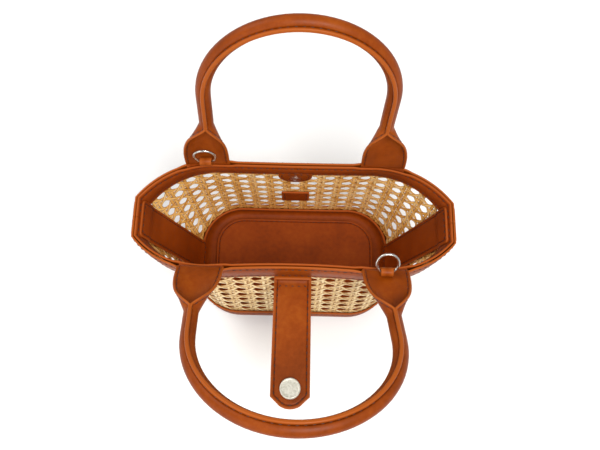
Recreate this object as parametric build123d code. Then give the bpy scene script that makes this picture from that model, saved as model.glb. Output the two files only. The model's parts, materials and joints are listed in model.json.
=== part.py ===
from build123d import *
import math
import os

os.makedirs("parts", exist_ok=True)

# ---------------------------------------------------------------------------
# Cane basket bag with leather trim.  Millimetres.
# Origin: middle of the underside of the base.  +X to the right, -Y to the
# front (the closure strap's side), +Z up.
# ---------------------------------------------------------------------------

# Body, measured on the cane's outer face
base_width = 148.0            # left to right at the base
base_depth = 92.0             # front to back at the base
rim_width = 225.0             # left to right at the rim
rim_depth = 75.0              # front to back at the rim, beside the handles
rim_height = 128.0            # rim at the middle of the front and the back
rim_end_drop = 12.0           # how much lower the rim is at its two ends
rim_pinch = 1.5               # how far the middle of each long side is drawn in
rim_straight = 112.0          # long side of the rim before it turns to the ends
strip_seat = 28.0             # flat end face that the side strips sit on

# Leather and cane
cane = 1.6                    # woven cane sheet
band = 1.6                    # leather bands, patches and strips
outer_band_height = 17.0
inner_band_height = 15.0
strip_width = 27.0
strip_face = 1.6              # how far a side strip stands above the bands
panel_gap = 1.0               # between the two panels, under the side strips
cane_below_rim = 1.0          # the cane stops short of the bands' top edges

# Base
base_cover_height = 16.0
base_cover_floor = 1.8
base_round = 8.0              # rolled lower edge
lining_height = 15.0
lining_round = 6.0
lining_floor = 1.6
lining_flange = 16.0          # how far the lining reaches in over the floor
stiffener = 2.5
stiffener_inset = 8.0
insert_thickness = 4.0
insert_leather = 0.9
insert_inset = 10.0

# Handles: rolled leather over a cord, with a leaf at each end
handle_spacing = 126.0        # between the two legs of one handle
leaf_spacing = 120.0          # between the middles of its two leaves at the rim
handle_rise = 118.0           # from the hinge line to the top of the roll's axis
roll_diameter = 9.8
handle_leather = 1.6
core_clearance = 0.1
leaf_width = 31.0
leaf_height = 32.0
leaf_base_span = 14.0         # degrees of curl at the rim
leaf_neck_span = 336.0        # degrees of curl where the leaf closes into the roll
leaf_start = 0.8              # from the hinge line to the leaf's lower edge
hinge_above_rim = 1.6
seam_width = 3.2
seam_height = 2.2
seam_sink = 0.8               # how deep the seam's foot sits in the roll
tail_depth = 13.0             # sewn in between the rim bands
tail_side_margin = 1.0        # the sewn-in part is this much narrower on each side
front_handle_lean = 55.0      # degrees from upright, towards the front
rear_handle_lean = 13.0       # degrees from upright, towards the back

# Closure strap
strap_width = 25.0
strap_length = 84.0
strap_leather = 1.4           # each of its two layers
strap_shoulder = 6.0          # length of the tapered end
strap_tip_width = 14.0
strap_tip_rise = 1.6          # how far the rounded end stands out past its corners
strap_lift = 82.0             # degrees from upright, towards the front
strap_start = 0.8
strap_gap = 0.4               # between the raised strap and the rim band
strap_tail_depth = 8.0
snap_from_tip = 12.0

# Magnetic closure
cap_diameter = 13.0
cap_height = 2.2
cap_wall = 0.5
cap_rim = 0.9
magnet_clearance = 0.1
washer_diameter = 9.0
washer_thickness = 0.6
washer_hole = 4.0
patch_width = 24.0
patch_height = 17.0
patch_tuck = 2.0              # drawn up past the band's edge, then trimmed to it
cap_below_band = 8.0
seat_clearance = 0.05
label_width = 21.5
label_height = 22.0
label_centre_height = 57.0

# Carrying rings
ring_outer = 15.6
ring_wire = 1.7
ring_clearance = 0.3
loop_width = 8.0
loop_leather = 1.1
loop_height = 6.4             # bore above the hinge line
loop_tail = 2.4
loop_stand_off = 0.5          # between the loop and the leaf
loop_foot_gap = 0.4           # from the leaf's lower edge up to the loop's
left_ring_lean = 6.0          # degrees from the leaf, towards the bag's inside
right_ring_lean = 97.0

# How far shapes are drawn past what they are trimmed to or cut
above_rim = 10.0              # wall above the rim
past_ends = 20.0              # rim line past the bag's two ends
cut_margin = 5.0
least_bow = 0.02              # share of the pinch kept at the base, so its sides stay arcs
leaf_steps = 6                # sections that a leaf is drawn through, less one
foot_margin = 0.3             # from the rolled edges to where the straight wall starts
board_top = base_cover_floor + stiffener
wall_foot = max(base_round, board_top + lining_round) + foot_margin


def lerp(low, high, share):
    """The point a given share of the way from one point to another."""
    return (low[0] + (high[0] - low[0]) * share, low[1] + (high[1] - low[1]) * share)


def base_corner_points(offset):
    """Long-side end, corner middle and end-face end of the base, right rear."""
    radius = (base_depth - strip_seat) / 2
    centre = (base_width / 2 - radius, base_depth / 2 - radius)
    reach = radius + offset
    middle = (centre[0] + reach * math.sqrt(0.5), centre[1] + reach * math.sqrt(0.5))
    return (centre[0], centre[1] + reach), middle, (centre[0] + reach, centre[1])


def rim_corner_points(offset):
    """The same three points at the rim, where the corner is one wide arc."""
    run = (rim_width - rim_straight) / 2
    fall = (rim_depth - strip_seat) / 2
    radius = (run ** 2 + fall ** 2) / (2 * fall)
    centre = (rim_straight / 2, rim_depth / 2 - radius)
    reach = radius + offset
    end_angle = math.acos((run + offset) / reach)
    middle_angle = (end_angle + math.pi / 2) / 2
    start = (centre[0], centre[1] + reach)
    middle = (
        centre[0] + reach * math.cos(middle_angle),
        centre[1] + reach * math.sin(middle_angle),
    )
    end = (centre[0] + reach * math.cos(end_angle), centre[1] + reach * math.sin(end_angle))
    return start, middle, end


def outline(z, offset):
    """The bag's closed outline at a height, moved out by an offset, as a face."""
    share = z / rim_height
    start, middle, end = [
        lerp(low, high, share)
        for low, high in zip(base_corner_points(offset), rim_corner_points(offset))
    ]
    waist = start[1] - rim_pinch * max(share, least_bow)
    edges = [
        ThreePointArc((-start[0], -start[1]), (0, -waist), (start[0], -start[1])),
        ThreePointArc((start[0], -start[1]), (middle[0], -middle[1]), (end[0], -end[1])),
        Line((end[0], -end[1]), (end[0], end[1])),
        ThreePointArc((end[0], end[1]), (middle[0], middle[1]), (start[0], start[1])),
        ThreePointArc((start[0], start[1]), (0, waist), (-start[0], start[1])),
        ThreePointArc((-start[0], start[1]), (-middle[0], middle[1]), (-end[0], end[1])),
        Line((-end[0], end[1]), (-end[0], -end[1])),
        ThreePointArc((-end[0], -end[1]), (-middle[0], -middle[1]), (-start[0], -start[1])),
    ]
    return Pos(0, 0, z) * make_face(edges)


def wall_solid(offset):
    """Everything inside the wall at one offset, from the wall's foot to above the rim."""
    return loft([outline(wall_foot, offset), outline(rim_height + above_rim, offset)], ruled=True)


def layer(inner, outer):
    """A skin of the wall between two offsets."""
    return wall_solid(outer) - wall_solid(inner)


def tub(offset, floor, radius):
    """The wall at one offset with a floor and a rolled lower edge."""
    steps = 4
    sections = []
    for step in range(steps + 1):
        turn = math.pi / 2 * step / steps
        inset = radius * (1 - math.sin(turn))
        sections.append(outline(floor + radius * (1 - math.cos(turn)), offset - inset))
    sections.append(outline(wall_foot, offset))
    sections.append(outline(rim_height + above_rim, offset))
    return loft(sections, ruled=True)


def rim_line(x, below=0.0):
    """Height of the rim at a place along X, less a distance below it."""
    sag = rim_end_drop * (2 * x / rim_width) ** 2
    return rim_height - sag - below


def under_rim(below):
    """Everything lower than a line that runs a distance below the rim."""
    reach = rim_width / 2 + past_ends
    edges = [
        Line((-reach, -cut_margin), (reach, -cut_margin)),
        Line((reach, -cut_margin), (reach, rim_line(reach, below))),
        ThreePointArc(
            (reach, rim_line(reach, below)), (0, rim_line(0, below)), (-reach, rim_line(reach, below))
        ),
        Line((-reach, rim_line(reach, below)), (-reach, -cut_margin)),
    ]
    return extrude(Plane.XZ * make_face(edges), amount=base_depth, both=True)


def block(x_from, x_to, y_from, y_to, z_from, z_to):
    """A plain box between two corners."""
    size = (x_to - x_from, y_to - y_from, z_to - z_from)
    centre = ((x_from + x_to) / 2, (y_from + y_to) / 2, (z_from + z_to) / 2)
    return Pos(*centre) * Box(*size)


def side_half(side, gap=0.0):
    """Front (-1) or rear (+1) half of space, short of the middle by half a gap."""
    reach = base_depth
    near = gap / 2
    low, high = (near, reach) if side > 0 else (-reach, -near)
    top = rim_height + above_rim + cut_margin
    return block(-rim_width, rim_width, low, high, -cut_margin, top)


def end_box(side):
    """The space of a side strip at the right (+1) or the left (-1)."""
    low, high = sorted((side * base_width / 4, side * rim_width))
    return block(
        low, high, -strip_width / 2, strip_width / 2, base_cover_height, rim_height + above_rim
    )


def wall_half_depth(z, offset=0.0):
    """Half the depth of the bag at its middle, at a height."""
    share = z / rim_height
    straight = base_depth / 2 + (rim_depth - base_depth) / 2 * share
    return straight - rim_pinch * max(share, least_bow) + offset


wall_lean = math.degrees(math.atan2((base_depth - rim_depth) / 2 + rim_pinch, rim_height))


def on_wall(side, z, offset):
    """A frame on the middle of the front or rear wall: local Z points outwards."""
    origin = (0, side * wall_half_depth(z, offset), z)
    tilt = math.radians(wall_lean)
    outwards = (0, side * math.cos(tilt), math.sin(tilt))
    return Plane(origin=origin, x_dir=(1, 0, 0), z_dir=outwards)


sides = {"front": -1, "rear": 1}
ends = {"left": -1, "right": 1}
parts = {}

# ---------------------------------------------------------------------------
# Base: moulded leather cover, stiffener, inner lining band and loose insert
# ---------------------------------------------------------------------------


def lower_than(height):
    """All of the bag lower than a height."""
    return block(-rim_width, rim_width, -base_depth, base_depth, -cut_margin, height)


cover_outside = tub(band, 0.0, base_round)
cover_inside = tub(0.0, base_cover_floor, base_round - band)
parts["base_cover"] = (cover_outside - cover_inside) & lower_than(base_cover_height)

parts["base_stiffener"] = extrude(outline(base_cover_floor, -stiffener_inset), amount=stiffener)

lining_outside = tub(-cane, board_top, lining_round)
lining_inside = tub(-cane - band, board_top + lining_floor, lining_round - band)
lining_band = (lining_outside - lining_inside) & lower_than(lining_height)
parts["base_lining"] = lining_band - extrude(outline(0, -lining_flange), amount=lining_height)

insert_floor = board_top + lining_floor
insert_block = extrude(outline(insert_floor, -insert_inset), amount=insert_thickness)
board_outline = outline(insert_floor + insert_leather, -insert_inset - insert_leather)
insert_board = extrude(board_outline, amount=insert_thickness - 2 * insert_leather)
parts["insert_cover"] = insert_block - insert_board
parts["insert_board"] = insert_board

# ---------------------------------------------------------------------------
# Cane panels, and the sewn-in tails that take their place under the bands
# ---------------------------------------------------------------------------
cane_wall = layer(-cane, 0.0)
cane_sheet = cane_wall & under_rim(cane_below_rim)
tail_zone = (cane_wall & under_rim(0.0)) - under_rim(tail_depth)
strap_tail_top = outer_band_height - strap_tail_depth
strap_tail_zone = (cane_wall & under_rim(strap_tail_top)) - under_rim(outer_band_height)

for side_name, side in sides.items():
    panel = cane_sheet & side_half(side, panel_gap)
    for end_name, end in ends.items():
        middle = end * leaf_spacing / 2
        half_tail = leaf_width / 2 - tail_side_margin
        slot = block(
            middle - half_tail,
            middle + half_tail,
            min(0, side * base_depth),
            max(0, side * base_depth),
            rim_height / 2,
            rim_height + above_rim,
        )
        tail = tail_zone & slot
        parts[f"handle_tail_{side_name}_{end_name}"] = tail
        panel = panel - tail
    if side_name == "front":
        strap_slot = block(
            -strap_width / 2, strap_width / 2, -base_depth, 0, rim_height / 2, rim_height + above_rim
        )
        parts["strap_tail"] = strap_tail_zone & strap_slot
        panel = panel - parts["strap_tail"]
    parts[f"cane_panel_{side_name}"] = panel

# ---------------------------------------------------------------------------
# Rim bands, inside and outside, and the strips over the two end joints
# ---------------------------------------------------------------------------
outer_ring = (layer(0.0, band) & under_rim(0.0)) - under_rim(outer_band_height)
inner_ring = (layer(-cane - band, -cane) & under_rim(0.0)) - under_rim(inner_band_height)
for side_name, side in sides.items():
    parts[f"rim_band_outer_{side_name}"] = outer_ring & side_half(side)
    parts[f"rim_band_inner_{side_name}"] = inner_ring & side_half(side)

outer_strip_layer = layer(0.0, band + strip_face) & under_rim(0.0)
inner_strip_layer = layer(-cane - band - strip_face, -cane) & under_rim(0.0)
for end_name, end in ends.items():
    parts[f"side_strip_outer_{end_name}"] = (outer_strip_layer & end_box(end)) - outer_ring
    parts[f"side_strip_inner_{end_name}"] = (inner_strip_layer & end_box(end)) - inner_ring

# ---------------------------------------------------------------------------
# Handles, drawn flat in the XZ plane with the hinge line on the X axis and the
# leaf's open side towards +Y, then turned to their rest lean
# ---------------------------------------------------------------------------
roll_radius = roll_diameter / 2
core_radius = roll_radius - handle_leather - core_clearance
arch_radius = handle_spacing / 2
leg_top = handle_rise - arch_radius


def leaf_section(share):
    """One cross-section of the leaf: a strip of leather curled to an arc."""
    ease = share * share * (3 - 2 * share)
    span = math.radians(leaf_base_span + (leaf_neck_span - leaf_base_span) * ease ** 1.5)
    neck_width = math.radians(leaf_neck_span) * (roll_radius - handle_leather / 2)
    width = leaf_width + (neck_width - leaf_width) * share
    mid_radius = width / span
    back = -(roll_radius - handle_leather / 2) * ease
    centre_y = back + mid_radius
    centre_x = leaf_spacing / 2 + (handle_spacing - leaf_spacing) / 2 * share

    def at(radius, angle):
        return (centre_x + radius * math.sin(angle), centre_y - radius * math.cos(angle))

    outer = mid_radius + handle_leather / 2
    inner = mid_radius - handle_leather / 2
    half = span / 2
    edges = [
        ThreePointArc(at(outer, -half), at(outer, 0), at(outer, half)),
        Line(at(outer, half), at(inner, half)),
        ThreePointArc(at(inner, half), at(inner, 0), at(inner, -half)),
        Line(at(inner, -half), at(outer, -half)),
    ]
    height = leaf_start + (leaf_height - leaf_start) * share
    return Pos(0, 0, height) * make_face(edges)


def handle_path():
    """The roll's axis: two straight legs and a half-round arch."""
    return (
        Line((-arch_radius, 0, leaf_height), (-arch_radius, 0, leg_top))
        + ThreePointArc((-arch_radius, 0, leg_top), (0, 0, handle_rise), (arch_radius, 0, leg_top))
        + Line((arch_radius, 0, leg_top), (arch_radius, 0, leaf_height))
    )


def handle_cover():
    """Leather roll with its raised seam and the two open leaves."""
    path = handle_path()
    at_neck = Pos(-arch_radius, 0, leaf_height)
    ring_face = Circle(roll_radius) - Circle(roll_radius - handle_leather)
    seam_middle = roll_radius + (seam_height - seam_sink) / 2
    seam_face = Pos(0, seam_middle) * Rectangle(seam_width, seam_height + seam_sink)
    roll = sweep(at_neck * ring_face, path=path)
    seam = sweep(at_neck * seam_face, path=path)
    leaf = loft([leaf_section(step / leaf_steps) for step in range(leaf_steps + 1)])
    return roll + seam + leaf + mirror(leaf, about=Plane.YZ)


def handle_core():
    """Cord inside the roll."""
    return sweep(Pos(-arch_radius, 0, leaf_height) * Circle(core_radius), path=handle_path())


hinge_height = rim_line(leaf_spacing / 2) + hinge_above_rim
hinge_depth = rim_depth / 2 - cane / 2
cover_flat = handle_cover()
core_flat = handle_core()


def place_on_handle(shape, side):
    """Turn a shape from the flat handle frame to the front or rear handle."""
    lean = front_handle_lean if side < 0 else rear_handle_lean
    facing = Rot(0, 0, 0) if side < 0 else Rot(0, 0, 180)
    return Pos(0, side * hinge_depth, hinge_height) * Rot(-side * lean, 0, 0) * facing * shape


for side_name, side in sides.items():
    parts[f"handle_{side_name}"] = place_on_handle(cover_flat, side)
    parts[f"handle_core_{side_name}"] = place_on_handle(core_flat, side)

# ---------------------------------------------------------------------------
# Carrying rings in leather loops, on the inner face of two leaves
# ---------------------------------------------------------------------------
ring_radius = (ring_outer - ring_wire) / 2
arc_sag = ring_radius - math.sqrt(ring_radius ** 2 - (loop_width / 2) ** 2)
bore_radius = ring_wire / 2 + arc_sag / 2 + ring_clearance
loop_radius = bore_radius + loop_leather
bore_depth = handle_leather / 2 + loop_stand_off + loop_radius
tail_length = loop_height - leaf_start - loop_foot_gap
loop_profile = Circle(loop_radius) + Pos(loop_tail / 2 - loop_radius, -tail_length / 2) * Rectangle(
    loop_tail, tail_length
)
loop_profile = loop_profile - Circle(bore_radius)
loop_flat = extrude(Plane.YZ * loop_profile, amount=loop_width / 2, both=True)
ring_flat = Pos(0, 0, ring_radius - arc_sag / 2) * Rot(90, 0, 0) * Torus(ring_radius, ring_wire / 2)

for end_name, side, lean in (("left", 1, left_ring_lean), ("right", -1, right_ring_lean)):
    # Seen in the flat handle frame both carry their loop on the +X leaf.
    seat = Pos(leaf_spacing / 2, bore_depth, loop_height)
    parts[f"ring_loop_{end_name}"] = place_on_handle(seat * loop_flat, side)
    parts[f"ring_{end_name}"] = place_on_handle(seat * Rot(-lean, 0, 0) * ring_flat, side)

# ---------------------------------------------------------------------------
# Closure strap, drawn upright with its hinge line on the X axis and its good
# side towards +Y, then laid out to the front
# ---------------------------------------------------------------------------
strap_hinge_height = rim_height - outer_band_height - strap_leather - strap_start
strap_hinge_offset = band + strap_leather + strap_gap
strap_hinge_depth = wall_half_depth(strap_hinge_height, strap_hinge_offset)


def strap_outline():
    """Straight sides, tapered shoulders and a rounded tip."""
    half = strap_width / 2
    tip = strap_tip_width / 2
    corner = strap_length - strap_tip_rise
    shoulder = corner - strap_shoulder
    edges = [
        Line((-half, strap_start), (half, strap_start)),
        Line((half, strap_start), (half, shoulder)),
        Line((half, shoulder), (tip, corner)),
        ThreePointArc((tip, corner), (0, strap_length), (-tip, corner)),
        Line((-tip, corner), (-half, shoulder)),
        Line((-half, shoulder), (-half, strap_start)),
    ]
    return Plane.XZ * make_face(edges)


def place_strap(shape):
    """Turn a shape from the upright strap frame to its rest lift."""
    return Pos(0, -strap_hinge_depth, strap_hinge_height) * Rot(strap_lift, 0, 0) * shape


def closure_cap():
    """Pressed metal cap with a raised rim, open side down, local Z outwards."""
    body = Cylinder(cap_diameter / 2, cap_height, align=(Align.CENTER, Align.CENTER, Align.MIN))
    top_edge = body.edges().sort_by(Axis.Z)[-1]
    body = fillet(top_edge, cap_wall)
    dish = Pos(0, 0, cap_height) * Cylinder(cap_diameter / 2 - cap_rim, cap_wall)
    hollow = Cylinder(
        cap_diameter / 2 - cap_wall,
        cap_height - 2 * cap_wall,
        align=(Align.CENTER, Align.CENTER, Align.MIN),
    )
    return body - dish - hollow


def closure_magnet():
    """Magnet disc that fills the cap."""
    return Cylinder(
        cap_diameter / 2 - cap_wall - magnet_clearance,
        cap_height - 2 * cap_wall - magnet_clearance,
        align=(Align.CENTER, Align.CENTER, Align.MIN),
    )


def washer():
    """Flat backing washer, local Z outwards."""
    disc = Cylinder(
        washer_diameter / 2, washer_thickness, align=(Align.CENTER, Align.CENTER, Align.MIN)
    )
    return disc - Cylinder(washer_hole / 2, 4 * washer_thickness)


strap_layer = extrude(strap_outline(), amount=-strap_leather)
snap_height = strap_length - snap_from_tip
washer_seat = Pos(0, 0, snap_height) * Rot(-90, 0, 0) * Pos(0, 0, -washer_thickness)
washer_room = washer_seat * Cylinder(
    washer_diameter / 2 + seat_clearance,
    washer_thickness,
    align=(Align.CENTER, Align.CENTER, Align.MIN),
)
strap_front_seat = Pos(0, strap_leather, snap_height) * Rot(-90, 0, 0)
parts["strap_top"] = place_strap(strap_layer)
parts["strap_lining"] = place_strap(Pos(0, -strap_leather, 0) * strap_layer - washer_room)
parts["strap_washer"] = place_strap(washer_seat * washer())
parts["strap_cap"] = place_strap(strap_front_seat * closure_cap())
parts["strap_magnet"] = place_strap(strap_front_seat * closure_magnet())

# ---------------------------------------------------------------------------
# Rear patches, the fixed half of the closure and the blank label
# ---------------------------------------------------------------------------


def half_round(top, width, height):
    """Extruded through the rear wall: straight top, round bottom."""
    radius = width / 2
    shoulder = top - height + radius
    edges = [
        Line((-radius, top), (-radius, shoulder)),
        ThreePointArc((-radius, shoulder), (0, top - height), (radius, shoulder)),
        Line((radius, shoulder), (radius, top)),
        Line((radius, top), (-radius, top)),
    ]
    return extrude(Plane.XZ * make_face(edges), amount=-base_depth)


tucked_height = patch_height + patch_tuck
outer_patch_tool = half_round(
    rim_height - outer_band_height + patch_tuck, patch_width, tucked_height
)
inner_patch_tool = half_round(
    rim_height - inner_band_height + patch_tuck, patch_width, tucked_height
)
outer_skin = layer(0.0, band)
inner_skin = layer(-cane - band, -cane)
parts["closure_patch_outer"] = (outer_skin & outer_patch_tool) - outer_ring
parts["closure_patch_inner"] = (inner_skin & inner_patch_tool) - inner_ring

cap_centre_height = rim_height - outer_band_height - cap_below_band
outer_seat = on_wall(1, cap_centre_height, band + seat_clearance)
parts["rear_cap"] = outer_seat * closure_cap()
parts["rear_magnet"] = outer_seat * closure_magnet()
inner_seat = on_wall(1, cap_centre_height, -cane - band - seat_clearance - washer_thickness)
parts["rear_washer"] = inner_seat * washer()

label_tool = block(
    -label_width / 2,
    label_width / 2,
    0,
    base_depth,
    label_centre_height - label_height / 2,
    label_centre_height + label_height / 2,
)
parts["label_patch"] = inner_skin & label_tool

for name, shape in parts.items():
    export_step(shape, f"parts/{name}.step")

print(f"{len(parts)} nodes")
print(f"handle hinge: y {hinge_depth:.2f}, z {hinge_height:.2f}")
print(f"strap hinge: y {-strap_hinge_depth:.2f}, z {strap_hinge_height:.2f}")
for end_name, side in (("left", 1), ("right", -1)):
    bore = place_on_handle(Pos(leaf_spacing / 2, bore_depth, loop_height) * Sphere(0.1), side)
    centre = bore.center()
    print(f"{end_name} ring hinge: ({centre.X:.2f}, {centre.Y:.2f}, {centre.Z:.2f})")
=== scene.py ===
# %% [markdown]
# # A small cane basket bag with leather trim
# The bag is two sheets of woven cane in a leather frame: a moulded base, bands
# that clamp the rim, strips over the end joints, two rolled handles, a closure
# strap and two carrying rings.  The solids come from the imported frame, which
# fixes every size and hinge.  Here each piece gets its real surface, so every
# length is worked out in millimetres and turned to metres once, when a mesh
# is made.

# %% Load the frame
import json
import math
import random

import bmesh
import bpy
import numpy as np
from mathutils import Matrix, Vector
from mathutils.geometry import delaunay_2d_cdt


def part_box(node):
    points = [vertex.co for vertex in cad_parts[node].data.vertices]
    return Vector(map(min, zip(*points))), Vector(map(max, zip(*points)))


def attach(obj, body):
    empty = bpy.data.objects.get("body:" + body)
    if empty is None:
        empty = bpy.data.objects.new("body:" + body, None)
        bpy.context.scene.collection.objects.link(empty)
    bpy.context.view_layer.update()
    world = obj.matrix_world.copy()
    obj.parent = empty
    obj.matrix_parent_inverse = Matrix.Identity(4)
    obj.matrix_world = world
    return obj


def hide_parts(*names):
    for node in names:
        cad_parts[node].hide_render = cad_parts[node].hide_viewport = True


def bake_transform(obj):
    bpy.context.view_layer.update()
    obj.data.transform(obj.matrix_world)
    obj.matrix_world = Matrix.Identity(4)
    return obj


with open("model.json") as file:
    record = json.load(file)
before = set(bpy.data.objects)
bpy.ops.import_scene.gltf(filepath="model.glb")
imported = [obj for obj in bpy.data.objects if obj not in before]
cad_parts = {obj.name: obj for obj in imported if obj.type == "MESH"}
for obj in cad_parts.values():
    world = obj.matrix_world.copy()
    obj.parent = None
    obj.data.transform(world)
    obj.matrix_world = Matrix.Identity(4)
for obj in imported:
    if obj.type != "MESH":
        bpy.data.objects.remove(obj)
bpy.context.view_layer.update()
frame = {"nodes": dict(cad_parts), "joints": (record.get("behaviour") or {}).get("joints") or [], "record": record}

joints = {joint["name"]: joint for joint in frame["joints"]}

# %% [markdown]
# ## Sizes
# A maker works from a few sizes: the outline of the base, the outline of the
# rim, and how high one stands above the other.  They are the same values that
# the solids are built from; heights and hinges are read from the frame, so the
# two can't drift apart.

# %% Sizes in millimetres
MM = 0.001
BASE_WIDTH = 148.0
BASE_DEPTH = 92.0
RIM_WIDTH = 225.0
RIM_DEPTH = 75.0
RIM_STRAIGHT = 112.0          # the nearly straight part of a long side
RIM_END_DROP = 12.0           # the rim's ends lie this much lower than its middle
RIM_PINCH = 1.5               # how far the long sides are drawn in
STRIP_SEAT = 28.0             # flat place at each end for the side strips
CANE = 1.6
LEATHER = 1.6


def node_box(node):
    """A solid's lowest and highest corner in millimetres."""
    low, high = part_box(node)
    return np.array(low) / MM, np.array(high) / MM


RIM_HEIGHT = node_box("rim_band_outer_front")[1][2]
COVER_TOP = node_box("base_cover")[1][2]
LINING_FLOOR, LINING_TOP = node_box("base_lining")[0][2], node_box("base_lining")[1][2]
WALL_FOOT = node_box("cane_panel_front")[0][2]
ABOVE_RIM = 10.0              # the straight lines are drawn this far past the rim
BAND_LEVEL = RIM_HEIGHT - 8.0
FRONT, REAR = -1, 1
print("rim", RIM_HEIGHT, "base cover", COVER_TOP, "wall foot", WALL_FOOT)

# %% [markdown]
# ## The wall as straight lines
# Cane sheet bends one way only, so a wall made from it is a ruled surface:
# straight lines run from the base outline up to the rim outline.  Both
# outlines have the same stretches (half an end, a corner arc, a long side, a
# corner arc, half an end), so point number n at the base pairs with point
# number n at the rim.  Everything sewn to the wall is placed by those lines.


# %% Outlines of the base and the rim
def arc_through(a, m, b, count):
    """Points along the circular arc from a through m to b."""
    ax, ay, mx, my, bx, by = *a, *m, *b
    turn = 2 * (ax * (my - by) + mx * (by - ay) + bx * (ay - my))
    aa, mm_, bb = ax * ax + ay * ay, mx * mx + my * my, bx * bx + by * by
    cx = (aa * (my - by) + mm_ * (by - ay) + bb * (ay - my)) / turn
    cy = (aa * (bx - mx) + mm_ * (ax - bx) + bb * (mx - ax)) / turn
    radius = math.hypot(ax - cx, ay - cy)
    start, middle, end = (math.atan2(y - cy, x - cx) for x, y in (a, m, b))
    middle += 2 * math.pi * round((start - middle) / (2 * math.pi))
    end += 2 * math.pi * round((middle - end) / (2 * math.pi))
    angles = np.linspace(start, end, count)
    return np.column_stack((cx + radius * np.cos(angles), cy + radius * np.sin(angles)))


def base_corner(offset):
    """Long-side end, middle and end-face end of the base's corner arc."""
    radius = (BASE_DEPTH - STRIP_SEAT) / 2
    centre = np.array((BASE_WIDTH / 2 - radius, BASE_DEPTH / 2 - radius))
    reach = radius + offset
    return [centre + reach * np.array(way) for way in ((0, 1), (math.sqrt(0.5),) * 2, (1, 0))]


def rim_corner(offset):
    """The same three points at the rim."""
    run, fall = (RIM_WIDTH - RIM_STRAIGHT) / 2, (RIM_DEPTH - STRIP_SEAT) / 2
    radius = (run ** 2 + fall ** 2) / (2 * fall)
    centre = np.array((RIM_STRAIGHT / 2, RIM_DEPTH / 2 - radius))
    reach = radius + offset
    last = math.acos((run + offset) / reach)
    turns = (math.pi / 2, (math.pi / 2 + last) / 2, last)
    return [centre + reach * np.array((math.cos(turn), math.sin(turn))) for turn in turns]


END_STEPS, CORNER_STEPS, SIDE_STEPS = 7, 30, 45


def half_outline(z, offset):
    """Points of the rear half of the outline at a height, from left end to right end."""
    share = z / RIM_HEIGHT
    start, middle, end = (
        low + (high - low) * share for low, high in zip(base_corner(offset), rim_corner(offset))
    )
    waist = start[1] - RIM_PINCH * max(share, 0.02)
    end_face = np.column_stack((np.full(END_STEPS, end[0]), np.linspace(end[1], 0, END_STEPS)))
    corner = arc_through(start, middle, end, CORNER_STEPS)
    side = arc_through((-start[0], start[1]), (0, waist), start, SIDE_STEPS)
    right = np.vstack((side[SIDE_STEPS // 2:], corner[1:], end_face[1:]))
    left = right[:0:-1] * (-1, 1)
    return np.vstack((left, right))


def rim_line(x, below=0.0):
    """Height of the rim over a place along X."""
    return RIM_HEIGHT - RIM_END_DROP * (2 * np.asarray(x) / RIM_WIDTH) ** 2 - below


lines_low = half_outline(WALL_FOOT, 0.0)
lines_high = half_outline(RIM_HEIGHT + ABOVE_RIM, 0.0)
LINES = len(lines_low)
print("straight lines across one wall:", LINES)


# %% Places on a wall
def between(rows, first, part):
    """Values a part of the way from each numbered row to the next."""
    return rows[first] * (1 - part) + rows[first + 1] * part


class Wall:
    """The front or rear wall: places and outward directions on the cane's outer face."""

    def __init__(self, side):
        flip = (1, side)
        self.low = np.column_stack((lines_low * flip, np.full(LINES, WALL_FOOT)))
        self.high = np.column_stack((lines_high * flip, np.full(LINES, RIM_HEIGHT + ABOVE_RIM)))
        along = np.gradient((self.low + self.high) / 2, axis=0)
        out = np.cross(self.high - self.low, along)
        out /= np.linalg.norm(out, axis=1)[:, None] * side * math.copysign(1.0, out[LINES // 2, 1])
        for _ in range(3):
            out[1:-1] = (out[:-2] + 2 * out[1:-1] + out[2:]) / 4
        self.out = out / np.linalg.norm(out, axis=1)[:, None]

    def place(self, line, z, stand_off=0.0):
        """Points at (fractional) line numbers and heights, moved out by a distance."""
        line, z, stand_off = np.broadcast_arrays(line, z, stand_off)
        first = np.clip(np.floor(line).astype(int), 0, LINES - 2)
        part = (line - first)[..., None]
        rise = ((z - WALL_FOOT) / (RIM_HEIGHT + ABOVE_RIM - WALL_FOOT))[..., None]
        low, high, out = (between(rows, first, part) for rows in (self.low, self.high, self.out))
        return low + (high - low) * rise + out * stand_off[..., None]

    def line_at(self, x, z):
        """The line number over a place along X, at a height."""
        xs = self.place(np.arange(LINES), np.full(LINES, z))[:, 0]
        return np.interp(x, xs, np.arange(LINES))

    def under_rim(self, line, below, stand_off=0.0):
        """Points a distance below the rim's own line."""
        line = np.asarray(line, float)
        x = self.place(line, np.full(line.shape, BAND_LEVEL))[..., 0]
        return self.place(line, rim_line(x, below), stand_off)


walls = {FRONT: Wall(FRONT), REAR: Wall(REAR)}
print("front middle faces", walls[FRONT].out[LINES // 2].round(3))


# %% [markdown]
# ## Helpers: nodes, colours and meshes
# A finish is a small tree of nodes.  One function adds any node, sets it and
# links it, colour stops too, so each material below reads like a recipe.  Colours are written
# as sRGB hex, as a paint chart gives them, and turned to the linear values
# that the shader works in.


# %% Node and colour helpers
def linear(colour):
    """An sRGB hex colour as the linear red, green, blue and alpha of a shader."""
    parts = [int(colour[i:i + 2], 16) / 255 for i in (1, 3, 5)]
    return tuple(c / 12.92 if c <= 0.04045 else ((c + 0.055) / 1.055) ** 2.4 for c in parts) + (1,)


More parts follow.
